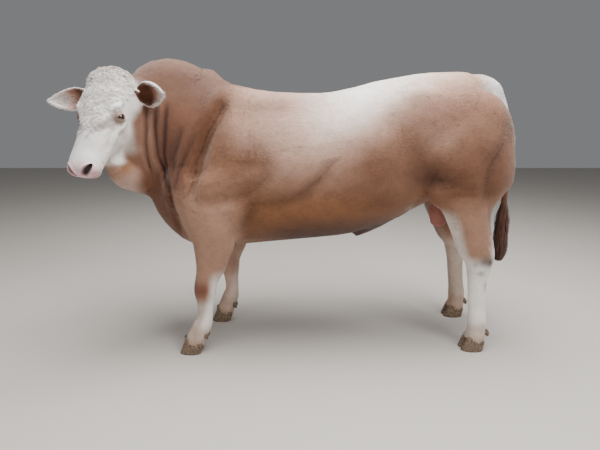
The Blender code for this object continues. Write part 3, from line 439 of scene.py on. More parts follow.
def loft(rows, ahead=(0, 0, 1), around=28, steps=40, square=2.0, cap=0.6, domes=4, place=None):
    """A closed loft. A row is x, y, z, half width, rise on the ahead side, drop on the other side.

    Each section is a superellipse across the path: its point at an angle is the half width times the cosine,
    and the rise or drop times the sine, both raised to 2 / square. The ends are domes."""
    path = smooth_rows(rows, steps)
    centre, size = path[:, :3], np.maximum(path[:, 3:6], 0.002)
    tangent = unit(np.gradient(centre, axis=0))
    side = unit(np.cross(np.array(ahead, float), tangent))
    rise = np.cross(tangent, side)
    dome = np.sin(np.linspace(0, math.pi / 2, domes + 2)[1:-1])
    shrink = np.sqrt(1 - dome**2)
    first, last = size[0].mean() * cap, size[-1].mean() * cap
    start = centre[0] - tangent[0] * first * dome[::-1, None]
    end = centre[-1] + tangent[-1] * last * dome[:, None]
    centre = np.vstack([start, centre, end])
    size = np.vstack([size[0] * shrink[::-1, None], size, size[-1] * shrink[:, None]])
    side, rise, tangent = (np.vstack([np.repeat(v[:1], domes, 0), v, np.repeat(v[-1:], domes, 0)])
                           for v in (side, rise, tangent))
    cos, sin = np.cos(circle(around)), np.sin(circle(around))
    across = np.sign(cos) * np.abs(cos) ** (2 / square)
    up = np.sign(sin) * np.abs(sin) ** (2 / square)
    height = np.where(up > 0, size[:, 1:2], size[:, 2:3]) * up
    width = size[:, :1] * across
    points = centre[:, None] + side[:, None] * width[..., None] + rise[:, None] * height[..., None]
    beyond = [tangent[0] * first * 0.02, tangent[-1] * last * 0.02]
    ends = np.stack([centre[0] - beyond[0], centre[-1] + beyond[1]])
    points = np.vstack([points.reshape(-1, 3), ends])
    if place:
        points = place(points)
    faces = ring_faces(len(centre), around)
    return points, outward(points, faces)


def globe(high, around, bulge=1.0, top=1.0):
    """Rings of a unit ball at angles down from its top, each times its bulge, and the two poles."""
    angle = circle(around)
    bulge = np.broadcast_to(bulge, high.shape)[:, None]
    rings = [np.sin(high)[:, None] * np.cos(angle) * bulge, np.sin(high)[:, None] * np.sin(angle) * bulge,
             np.cos(high)[:, None] * bulge * np.ones(around)]
    return np.vstack([np.stack(rings, -1).reshape(-1, 3), [(0, 0, top), (0, 0, -1)]])


def mound(centre, radii, lean=0, place=None, rows=16, around=24):
    """An ellipsoid as rings round its own axis; lean tips it about Y, in degrees."""
    ball = globe(np.linspace(0, math.pi, rows + 2)[1:-1], around) * radii
    tilt = math.radians(lean)
    turn = np.array([(math.cos(tilt), 0, math.sin(tilt)), (0, 1, 0), (-math.sin(tilt), 0, math.cos(tilt))])
    points = ball @ turn.T + centre
    if place:
        points = place(points)
    faces = ring_faces(rows, around)
    return points, outward(points, faces)


def gathered(shells):
    """Several shells of points and faces as one."""
    starts = np.cumsum([0] + [len(points) for points, _ in shells[:-1]])
    faces = np.vstack([f + start for (_, f), start in zip(shells, starts)])
    return np.vstack([points for points, _ in shells]), faces


def mesh_of(name, points, faces):
    mesh = bpy.data.meshes.new(name)
    mesh.vertices.add(len(points))
    mesh.vertices.foreach_set("co", np.ascontiguousarray(points, np.float32).ravel())
    mesh.loops.add(faces.size)
    mesh.loops.foreach_set("vertex_index", faces.ravel().astype(np.int32))
    mesh.polygons.add(len(faces))
    mesh.polygons.foreach_set("loop_start", (np.arange(len(faces)) * faces.shape[1]).astype(np.int32))
    mesh.update(calc_edges=True)
    mesh.validate()
    return mesh


def placed(name, data):
    """A new object in the scene, at the origin, of this mesh, light or camera."""
    obj = bpy.data.objects.new(name, data)
    bpy.context.scene.collection.objects.link(obj)
    return obj


def changed(mesh, kind, groups=None, **settings):
    """The mesh after one modifier, applied on a passing object. groups gives a weight to each point."""
    obj = placed("passing", mesh)
    if groups is not None:
        group = obj.vertex_groups.new(name="weight")
        level = np.round(groups * 20).astype(int)
        for step in np.unique(level):
            group.add(np.flatnonzero(level == step).tolist(), step / 20, "REPLACE")
    modifier = obj.modifiers.new("change", kind)
    for key, value in settings.items():
        setattr(modifier, key, value)
    graph = bpy.context.evaluated_depsgraph_get()
    result = bpy.data.meshes.new_from_object(obj.evaluated_get(graph))
    bpy.data.objects.remove(obj)
    return result


def read(mesh):
    """The mesh's points and normals as arrays."""
    count = len(mesh.vertices)
    points, normals = np.empty(count * 3), np.empty(count * 3)
    mesh.vertices.foreach_get("co", points)
    mesh.vertices.foreach_get("normal", normals)
    return points.reshape(-1, 3), normals.reshape(-1, 3)


def write(mesh, points):
    mesh.vertices.foreach_set("co", points.ravel())
    mesh.update()


def relax(mesh, rounds, keep=None):
    """Moves each point towards the mean of its neighbours, less where keep is near 1."""
    points, _ = read(mesh)
    count = len(points)
    edges = np.empty(len(mesh.edges) * 2, int)
    mesh.edges.foreach_get("vertices", edges)
    a, b = edges.reshape(-1, 2).T
    near = np.bincount(np.concatenate([a, b]), minlength=count)
    free = np.ones(count) if keep is None else 1 - keep(points)
    for _ in range(rounds):
        total = [np.bincount(a, points[b, k], count) + np.bincount(b, points[a, k], count) for k in range(3)]
        points += 0.6 * free[:, None] * (np.stack(total, 1) / near[:, None] - points)
    write(mesh, points)


def keep_fine(points):
    """Feet, shins and face keep more of their form than the broad flesh does."""
    low = np.clip((0.62 - points[:, 2]) / 0.25, 0, 1)
    local = to_head(points)
    from_axis = np.linalg.norm(local[:, 1:] + [0, 0.12], axis=1)
    face = np.clip((local[:, 0] + 0.05) / 0.2, 0, 1) * np.clip((0.30 - from_axis) / 0.08, 0, 1)
    return 0.85 * np.maximum(low, face)


def line_gap(points, line):
    """Distance of each point from a line of straight runs, in as many axes as the line has."""
    line = np.array(line, float)
    nearest = np.full(len(points), 9.0)
    for a, b in zip(line[:-1], line[1:]):
        along = np.clip(((points - a) @ (b - a)) / ((b - a) @ (b - a)), 0, 1)
        nearest = np.minimum(nearest, np.linalg.norm(points - a - along[:, None] * (b - a), axis=1))
    return nearest


def crease(mesh, furrows):
    """Sinks each furrow into both flanks: by its depth on the line, dying away as a bell over its width."""
    points, normals = read(mesh)
    sideways = np.clip(np.abs(normals[:, 1]) * 1.6 - 0.3, 0, 1)
    for line, width, depth in furrows:
        gap = line_gap(points[:, [0, 2]], line)
        points -= normals * (depth * sideways * bell(gap, width))[:, None]
    write(mesh, points)


def fold_share(points, line):
    """Distance of each point from the line, and a share that is 1 over its middle and 0 at both its ends."""
    line = np.array(line, float)
    legs = np.linalg.norm(np.diff(line, axis=0), axis=1)
    nearest, place = np.full(len(points), 9.0), np.zeros(len(points))
    for a, b, start, leg_length in zip(line[:-1], line[1:], np.cumsum(legs) - legs, legs):
        along = np.clip(((points - a) @ (b - a)) / leg_length**2, 0, 1)
        gap = np.linalg.norm(points - a - along[:, None] * (b - a), axis=1)
        place = np.where(gap < nearest, start + along * leg_length, place)
        nearest = np.minimum(nearest, gap)
    place = place / legs.sum()
    return nearest, swell(place, 0.0, 0.20) * fall(place, 0.80, 1.0)


def fold(mesh, lines, local=False):
    """Presses folds in: a bell down to the depth on the line, and beside it a lip a sixth as high.

    Each fold dies away towards both its ends."""
    for line, width, depth, side in lines:
        points, normals = read(mesh)
        if local:
            where = to_head(points) * [1, side, 1]
            share = (where[:, 1] > -0.02).astype(float)
        else:
            where = points[:, [0, 2]]
            share = np.clip(np.abs(normals[:, 1]) * 1.8 - 0.3, 0, 1)
            if side:
                share = share * (points[:, 1] * side > 0.05)
        gap, middle = fold_share(where, line)
        shape = bell(gap, width) - 0.17 * bell(gap - 2.2 * width, width)
        write(mesh, points - normals * (depth * share * middle * shape)[:, None])


def model_forms(mesh):
    """Raises each muscle and sinks each hollow of both flanks by a bell over its two half sizes."""
    points, normals = read(mesh)
    share = np.clip(np.abs(normals[:, 1]) * 1.6 - 0.2, 0, 1)
    for x, z, along, up, height in FORMS:
        spot = blot(points[:, 0], points[:, 2], (x, z), (along, up))
        points = points + normals * (height * share * spot)[:, None]
    write(mesh, points)


def ear_cup(t, width):
    """Radius of an ear's cup and half the angle of its arc, at a share t of its length."""
    radius = width / 2 * (0.5 + 0.5 * np.sin(math.pi * t**0.8)) * np.sqrt(np.maximum(1 - t**4, 0.01))
    return radius, np.radians(84 + 14 * np.sin(math.pi * t) - 8 * t)


def ear_axes(axis, opening):
    """The ear's axis, the way it opens and the way across, as three crossing unit vectors."""
    axis = unit(np.array(axis, float))
    opening = np.array(opening, float)
    opening = unit(opening - axis * (axis @ opening))
    return axis, opening, np.cross(axis, opening)


def ear_shape(root, axis, opening, length, width, along=40, across=26):
    """An ear: a cup round its own axis, open on one side, with an outer and an inner skin joined at the rim.

    Across the ear the skin is an arc of about half a ring. Its radius swells to half the width and closes at
    the tip, and the axis bends a little to the open side."""
    axis, opening, side = ear_axes(axis, opening)
    t = np.sin(np.linspace(0, math.pi / 2, along))[:, None]
    radius, bow = ear_cup(t, width)
    middle = np.array(root) + axis * length * t + opening * 0.12 * length * t**2
    share = np.linspace(-1, 1, across)
    turns = (bow * share)[..., None]
    spokes = side * np.sin(turns) - opening * np.cos(turns)
    wall = np.minimum(EAR_WALL * (1 + 0.25 * np.abs(share) ** 4), 0.7 * radius)[..., None]
    out = middle[:, None] + spokes * radius[..., None]
    inner = out - spokes * wall
    rings = np.concatenate([out, inner[:, ::-1]], 1)
    ends = [rings[0].mean(0), rings[-1].mean(0)]
    points = from_head(np.vstack([rings.reshape(-1, 3), ends]))
    return points, outward(points, ring_faces(along, 2 * across))


def in_ears(local):
    """For points in the head's axes: how far they are on an ear, inside its cup, and along it."""
    on, inside, along = (np.zeros(len(local)) for _ in range(3))
    for root, axis, opening, length, width in EARS.values():
        axis, opening, side = ear_axes(axis, opening)
        arm = local - root
        reach = arm @ axis
        t = np.clip(reach / length, 0, 1)
        radius, bow = ear_cup(t, width)
        spoke = arm - np.outer(reach, axis) - np.outer(0.12 * length * t**2, opening)
        apart = np.linalg.norm(spoke, axis=1)
        turn = np.arctan2(np.abs(spoke @ side), -(spoke @ opening))
        cup = fall(apart, radius - 0.85 * EAR_WALL, radius - 0.35 * EAR_WALL) * (turn < bow + 0.1)
        cup = cup * (reach > -0.02) * (reach < length + 0.02)
        near = (reach > 0.012) * (reach < length + 0.03) * fall(apart, radius + 0.008, radius + 0.014)
        on = np.maximum(on, np.maximum(near, cup))
        inside = np.maximum(inside, cup)
        along = np.where(near + cup > 0.5, t, along)
    return on, inside, along


def leg(rows, side, shift=0, spread=0):
    """A leg on one side; shift moves its foot along the body and spread moves it outwards."""
    rows = np.array(rows)
    top, foot = rows[0][2], rows[-1][2]
    share = (top - rows[:, 2]) / (top - foot)
    moved = rows.copy()
    moved[:, 0] += shift * share
    moved[:, 1] = side * (rows[:, 1] + spread * share)
    return loft(moved, ahead=(-1, 0, 0), steps=70, cap=0.3)


def flesh_shells():
    """Lofts and mounds of the trunk, legs and head, which fuse into the flesh."""
    shells = [
        loft(TRUNK, steps=60, around=40, square=2.3, cap=0.5),
        loft(NECK, around=36, square=2.1, cap=0.5),
        loft(DEWLAP, ahead=(-0.5, 0, -0.8), steps=24, around=16, cap=0.5),
        loft(SHEATH, steps=16, around=14, cap=0.5),
        mound((-0.63, 0, 0.74), (0.125, 0.15, 0.16)),
        mound((-0.71, -0.02, 1.435), (0.25, 0.15, 0.19), lean=4),
        loft(TAIL[:5], ahead=(1, 0, 0), steps=30, around=24, cap=0.5),
        mound((1.02, 0, 1.462), (0.13, 0.085, 0.078), lean=20),
        leg(FORELEG, LEFT),
        leg(FORELEG, RIGHT, **FAR_FORE),
        leg(HINDLEG, LEFT),
        leg(HINDLEG, RIGHT, **FAR_HIND),
        loft(SKULL, around=32, square=2.2, cap=0.45, place=from_head),
        loft(JAW, steps=24, place=from_head),
        mound((0.493, 0, -0.093), (0.032, 0.082, 0.052), place=from_head),
        mound((0.466, 0, -0.155), (0.038, 0.054, 0.030), place=from_head),
        mound((0.00, 0, -0.060), (0.085, 0.128, 0.075), place=from_head),
        mound((0.09, 0, -0.050), (0.100, 0.118, 0.055), place=from_head),
        mound((0.17, 0, -0.245), (0.130, 0.080, 0.060), place=from_head),
        mound((0.31, 0, -0.245), (0.090, 0.055, 0.045), place=from_head),
    ]
    for side in (LEFT, RIGHT):
        shells += [
            mound((-0.44, side * 0.17, 1.14), (0.19, 0.15, 0.35), lean=18),
            mound((-0.62, side * 0.23, 0.93), (0.12, 0.10, 0.15)),
            mound((-0.40, side * 0.265, 0.93), (0.16, 0.10, 0.17)),
            mound((0.98, side * 0.16, 1.17), (0.17, 0.15, 0.28), lean=-8),
            mound((0.91, side * 0.24, 1.06), (0.20, 0.12, 0.27), lean=-10),
            mound((0.755, side * 0.26, 0.93), (0.085, 0.07, 0.11)),
            mound((0.62, side * 0.20, 1.40), (0.12, 0.08, 0.07)),
            mound((0.15, side * 0.084, -0.190), (0.11, 0.046, 0.10), place=from_head),
            mound((0.155, side * 0.096, -0.046), (0.052, 0.032, 0.028), place=from_head),
            loft([(p, side * q, r, w, w, w) for p, q, r, w in CHEEKBONE], steps=16, around=12,
                 place=from_head),
        ]
    return shells


def eye_axes(q):
    """At an eye: the ways outwards, to its inner corner and to its upper lid, in the head's axes."""
    out = unit(np.array([0.06, q * 0.93, 0.30]))
    inner = np.array([0.66, -q * 0.3, 0.68])
    inner = unit(inner - out * (inner @ out))
    return out, inner, -np.cross(out, inner) * q


NOSTRIL_WAY = unit(np.array([-0.80, -0.25, -0.45]))
LID_HALF = 0.0203
LID_RISE = 0.0150
LID_DROP = 0.0112


def open_lids(mesh):
    """Draws the skin round each eyeball as lids, and sinks it behind the eyeball inside their almond opening.

    The opening's edge is a parabola over its half width, higher above than below."""
    for q in (1, -1):
        points, _ = read(mesh)
        local = to_head(points)
        out, inner, up = eye_axes(q)
        arm = local - np.array(EYE) * [1, q, 1]
        a, u, v = arm @ out, arm @ inner, arm @ up
        apart = np.hypot(u, v)
        lid = EYE_RADIUS + 0.0030
        sphere = np.sqrt(np.maximum(lid**2 - apart**2, 0))
        share = fall(apart, 0.019, 0.034) * (a > -0.01)
        bow = 1 - (u / LID_HALF) ** 2
        inside = np.minimum(v + LID_DROP * bow, LID_RISE * bow - v)
        sink = 0.014 * swell(inside, -0.0012, 0.0016) * (apart < 0.021)
        target = np.maximum(sphere, 0.006) - sink
        local = local + out * (share * (target - a))[:, None]
        write(mesh, from_head(local))


def press_nostrils(mesh):
    """Hollows the nostrils by the share of the comma's radius that a point is within, with a raised rim."""
    for q in (1, -1):
        points, normals = read(mesh)
        local = to_head(points) * [1, q, 1]
        line = smooth_rows(NOSTRIL, 12)
        gap = np.full(len(local), 9.0)
        for p, w, r, size in line:
            gap = np.minimum(gap, (gap_from(local, [p, w, r]) - size) / size)
        hollow = swell(-gap, -0.25, 0.55)
        rim = bell(gap - 0.45, 0.35)
        inward = NOSTRIL_WAY * [1, q, 1]
        moved = points + (TURN @ inward) * (0.024 * hollow)[:, None] + normals * (0.0035 * rim)[:, None]
        write(mesh, moved)


def part_lips(mesh):
    """A groove along the mouth with the lips swelling beside it."""
    points, normals = read(mesh)
    gap = line_gap(to_half(points), MOUTH)
    shape = bell(gap, 0.0045) - 0.30 * bell(gap - 0.011, 0.007)
    write(mesh, points - normals * (0.0075 * shape)[:, None])


def refine(mesh, near):
    """Halves the edges whose ends are both where near says so."""
    points, _ = read(mesh)
    chosen = near(points)
    shape = bmesh.new()
    shape.from_mesh(mesh)
    shape.verts.ensure_lookup_table()
    edges = [e for e in shape.edges if chosen[e.verts[0].index] and chosen[e.verts[1].index]]
    bmesh.ops.subdivide_edges(shape, edges=edges, cuts=1, use_grid_fill=True)
    bmesh.ops.triangulate(shape, faces=shape.faces)
    shape.to_mesh(mesh)
    shape.free()
    mesh.update()


def near_details(points):
    """True near the eyes, nostrils and lips, where the skin is finest."""
    half = to_half(points)
    eye = gap_from(half, EYE) < 0.042
    nose = gap_from(half, [0.500, 0.045, -0.068]) < 0.042
    lips = line_gap(half, MOUTH) < 0.016
    return eye | nose | lips


def make_skin():
    """The skin: rough clay fused and relaxed, fused again finer with ears and tail, folded and thinned."""
    rough = changed(mesh_of("rough", *gathered(flesh_shells())), "REMESH", mode="VOXEL", voxel_size=ROUGH)
    relax(rough, 24, keep_fine)
    crease(rough, FURROWS)
    relax(rough, 3)
    points, normals = read(rough)
    write(rough, points - normals * (COAT * (1 - 0.7 * keep_fine(points)))[:, None])
    corners = np.empty(len(rough.polygons) * 4, int)
    rough.polygons.foreach_get("vertices", corners)
    shells = [(read(rough)[0], halved(*corners.reshape(-1, 4).T))]
    shells += [ear_shape(*ear) for ear in EARS.values()]
    shells.append(loft([(x, y, z, w - 0.003, h - 0.003, d - 0.003) for x, y, z, w, h, d in TAIL],
                       ahead=(1, 0, 0), steps=60, around=24, cap=0.3))
    skin = changed(mesh_of("skin", *gathered(shells)), "REMESH", mode="VOXEL", voxel_size=FINE)
    relax(skin, 5)
    model_forms(skin)
    fold(skin, FOLDS)
    fold(skin, [(line, width, depth, q) for line, width, depth in FACE_FOLDS for q in (1, -1)], local=True)
    points, _ = read(skin)
    fine = keep_fine(points) / 0.85
    skin = changed(skin, "DECIMATE", groups=1 - 0.75 * fine, ratio=SKIN_TRIANGLES / (2 * len(skin.polygons)),
                   vertex_group="weight", vertex_group_factor=1.0)
    refine(skin, near_details)
    open_lids(skin)
    press_nostrils(skin)
    part_lips(skin)
    return skin


def linear(code):
    """An sRGB hex colour as linear red, green and blue."""
    s = np.array([int(code[k:k + 2], 16) for k in (1, 3, 5)]) / 255
    return np.where(s <= 0.04045, s / 12.92, ((s + 0.055) / 1.055) ** 2.4)


# Colours of the hair and the bare skin
WHITE_HAIR = linear("#F2ECE6")
CREAM = linear("#C4A08C")
TAN = linear("#815A43")
ARM_TAN = linear("#A37C66")
WARM_TAN = linear("#6A4129")
CREST_TAN = linear("#6E4D3C")
GOLD = linear("#855837")
DARK_GOLD = linear("#44230E")
RUST = linear("#6E3F2C")
PALE_THROAT = linear("#CFB0A2")
SOILED_AND_SHADE = linear("#A88A74")
DIRT = linear("#2F251E")
SWITCH_BROWN = linear("#553629")
PINK = linear("#D59C8C")
MUZZLE_PINK = linear("#E6BBBF")
GREY_PINK = linear("#D8C6C6")
GREY_WHITE = linear("#A9ADB6")
FACE_GREY = linear("#B5B0AE")
EAR_PINK = linear("#C99079")
EAR_BROWN = linear("#5E321C")
FOLD_SHADE = linear("#6D564A")
NOSTRIL_DARK = linear("#241010")
LIP_SHADE = linear("#8A5A55")
CURL_SHADE = linear("#A39488")
ROSE_TAN = linear("#956F5C")


def lay_over(base, tone, amount):
    """Lays the tone over the base colours, by an amount from 0 to 1 at each point."""
    base += (tone - base) * np.clip(amount, 0, 1)[:, None]


def blot(x, z, middle, spread):
    """A soft spot: a bell over the distance from its middle in each axis."""
    return np.exp(-((x - middle[0]) / spread[0]) ** 2 - ((z - middle[1]) / spread[1]) ** 2)


def trunk_marks(colour, points):
    """Golden belly, cream back and white loin, dark thigh, warm brown neck and white tail head."""
    x, y, z = points.T
    # Golden brown towards the belly, darkest under it, where painted shade of the underside deepens the gold
    trunk = swell(x, -0.50, -0.30) * (z > 0.55) * (1 - swell(x, 0.66, 0.78) * fall(z, 0.86, 0.96))
    lay_over(colour, GOLD, trunk * fall(z, 0.82, 1.00))
    rear = 0.35 + 0.65 * swell(x, -0.25, 0.0)
    lay_over(colour, DARK_GOLD, trunk * rear * fall(z, 0.67, 0.86) * (np.abs(y) < 0.40))
    # Back and ribs cream, near white over the loin; the edge falls and rises along the body
    edge = np.interp(x, [-0.45, -0.30, -0.10, 0.15, 0.30, 0.45, 0.60, 0.75, 0.90, 1.05],
                     [1.34, 1.13, 1.01, 1.03, 1.11, 1.22, 1.32, 1.40, 1.45, 1.48])
    body = swell(x, -0.46, -0.28)
    lay_over(colour, ROSE_TAN, body * swell(z - edge, -0.16, 0.02))
    paler = np.interp(x, [-0.3, -0.1, 0.1, 0.6, 1.1], [0.25, 0.55, 0.9, 1.0, 0.8])
    lay_over(colour, CREAM, body * paler * swell(z - edge, -0.06, 0.16))
    whiter = np.interp(x, [-0.3, 0.0, 0.12, 0.30, 0.62, 0.75, 0.95, 1.1],
                       [0.0, 0.1, 0.4, 1.0, 1.0, 0.45, 0.35, 0.5])
    lay_over(colour, WHITE_HAIR, body * whiter * swell(z - edge, 0.05, 0.32))
    # Darker thigh; painted shade in the hollow before it, in the flank's hollow, behind the shoulder and
    # along the upper ribs; a paler place high on the thigh
    for tone, amount, middle, spread in (
        (WARM_TAN, 0.60 * (z > 0.7), (0.86, 1.08), (0.24, 0.20)),
        (DARK_GOLD, 0.60 * (z > 0.7), (0.70, 0.99), (0.13, 0.07)),
        (WARM_TAN, 0.50, (0.42, 1.05), (0.16, 0.12)),
        (CREAM, 0.45, (0.69, 1.21), (0.11, 0.09)),
        (GOLD, 0.6, (-0.26, 1.08), (0.11, 0.05)),
        (SOILED_AND_SHADE, 0.35, (-0.12, 1.38), (0.22, 0.05)),
    ):
        lay_over(colour, tone, amount * blot(x, z, middle, spread))
    # Neck and crest darker and warmer, up to the groove before the shoulder
    groove = np.interp(z, [0.60, 0.93, 1.09, 1.23, 1.35, 1.50], [-0.62, -0.57, -0.52, -0.45, -0.38, -0.34])
    blend = 0.07 * swell(z, 1.34, 1.47)
    neck = fall(x - groove, -0.05 - blend, 0.02 + blend) * (z > 0.55)
    lay_over(colour, WARM_TAN, neck)
    lay_over(colour, CREST_TAN, neck * swell(z, 1.30, 1.50))
    nape = neck * swell(-x, 0.70, 0.79) * swell(z, 0.96, 1.06) * fall(z, 1.32, 1.44) * (y < 0)
    lay_over(colour, ROSE_TAN, 0.65 * nape)
    # White over the tail head and down the rear edge of the rump
    behind = swell(x, 0.95, 1.08) * fall(np.abs(y), 0.06, 0.18) * swell(z, 1.16, 1.30)
    lay_over(colour, WHITE_HAIR, 0.9 * behind)
    # Painted shade, a blue grey, over the top of the white tail head
    lay_over(colour, GREY_WHITE, 0.35 * behind * swell(z, 1.34, 1.42))
    lay_over(colour, GOLD, 0.5 * swell(x, 0.95, 1.08) * blot(x, z, (1.05, 1.12), (0.10, 0.14)))


def leg_marks(colour, points):
    """Tan forearms and gaskins, white and soiled legs below them."""
    x, y, z = points.T
    # Forearm and gaskin a greyer, lighter tan than the trunk
    arm = fall(x, -0.36, -0.26) * fall(z, 0.84, 1.02) * (x > -0.66)
    lay_over(colour, ARM_TAN, 0.95 * arm * (z < 1.1) * (np.abs(y) > 0.12))
    gaskin = swell(x, 0.70, 0.82) * fall(z, 0.80, 0.93)
    lay_over(colour, ARM_TAN, 0.85 * gaskin)
    # Forelegs: tan to the knee with a rusty scuff on its front, white behind it and below
    fore = (x < 0.2) & (z < 0.66)
    shin = np.interp(z, [0.1, 0.3, 0.45, 0.6], [-0.59, -0.53, -0.51, -0.475]) + (y > 0) * 0.08
    rear = swell(x - shin, 0.0, 0.05)
    lay_over(colour, SOILED_AND_SHADE, fore * fall(z, 0.28, 0.36) * 0.8)
    lay_over(colour, WHITE_HAIR, fore * fall(z, 0.28, 0.36) * (0.35 + 0.6 * rear))
    lay_over(colour, WHITE_HAIR, fore * rear * fall(z, 0.40, 0.52) * 0.8)
    lay_over(colour, RUST, fore * (1 - rear) * 0.95 * bell(z - 0.385, 0.055))
    lay_over(colour, CREAM, fore * (y > 0) * 0.6 * fall(z, 0.50, 0.62))
    # Hind legs: a white streak down the front of the gaskin, white behind the hock and below it
    hind = (x > 0.6) & (z < 0.95)
    far = y > 0
    front = np.interp(z, [0.50, 0.58, 0.66, 0.73, 0.83], [0.915, 0.875, 0.840, 0.812, 0.775]) + far * 0.04
    streak = fall(x - front, 0.0, 0.055)
    lay_over(colour, WHITE_HAIR, hind * streak * 0.75 * fall(z, 0.76, 0.84))
    behind = swell(x, 1.02, 1.05) * fall(z, 0.66, 0.74)
    lay_over(colour, WHITE_HAIR, hind * behind * 0.8)
    lay_over(colour, WHITE_HAIR, hind * fall(z, 0.50, 0.58) * 0.92)
    # The far hind leg: soiled below and brown above, partly painted shade of its inner side
    lay_over(colour, SOILED_AND_SHADE, hind * far * 0.75 * fall(z, 0.56, 0.68))
    lay_over(colour, WARM_TAN, hind * far * 0.80 * swell(z, 0.52, 0.64))
    for place_x, place_z, along, up, depth in HOCK_DIRT:
        lay_over(colour, DIRT, hind * (y < 0) * depth * blot(x, z, (place_x, place_z), (along, up)))
    low = fall(z, 0.12, 0.24)
    lay_over(colour, SOILED_AND_SHADE, (0.60 * low + 0.25 * fall(z, 0.07, 0.12)) * (z < 0.4))


def shade_marks(colour, points):
    """Dirt, the tail's colours, the pale throat, and the shade in hollows and folds."""
    x, y, z = points.T
    # Dried dirt on the buttock and a dimple's shade over the hook bone
    crumbs = 0.6 + 0.4 * np.sin(120 * z + 3 * np.sin(90 * x)) * np.sin(140 * x + 2 * np.sin(60 * z))
    dried = swell(blot(x, z, (1.062, 1.255), (0.055, 0.080)), 0.10, 0.95)
    lay_over(colour, DIRT, 0.75 * (y < -0.1) * crumbs * dried)
    lay_over(colour, SOILED_AND_SHADE, 0.5 * (y < 0) * blot(x, z, (0.58, 1.475), (0.030, 0.030)))
    # Tail: white at its head, tan lower down and brown at the switch
    tail = swell(x, 1.145, 1.165) * (np.abs(y) < 0.05)
    lay_over(colour, TAN, tail * fall(z, 1.10, 1.30))
    lay_over(colour, SWITCH_BROWN, tail * fall(z, 0.78, 0.98))
    # Pale throat
    throat = swell(-x, 0.82, 0.90) * fall(z, 1.00, 1.10)
    lay_over(colour, PALE_THROAT, 0.8 * throat)
    # Painted shade in the hollows, under the muscles and along the folds
    for middle_x, middle_z, along, up, amount in SHADES:
        spot = blot(x, z, (middle_x, middle_z), (along, up)) * (z > 0.6)
        colour *= 1 - amount * spot[:, None] * [0.86, 1.0, 1.08]
    shade = np.zeros(len(points))
    for line, width, depth, side in FOLDS:
        gap, middle = fold_share(points[:, [0, 2]], line)
        on = middle if side == 0 else middle * (points[:, 1] * side > 0)
        amount = (0.42 if line[1][0] < -0.74 else 0.72) if side else 0.34
        shade = np.maximum(shade, amount * on * min(depth / 0.014, 1) * bell(gap, width))
    colour *= 1 - shade[:, None] * [0.85, 1.0, 1.08]


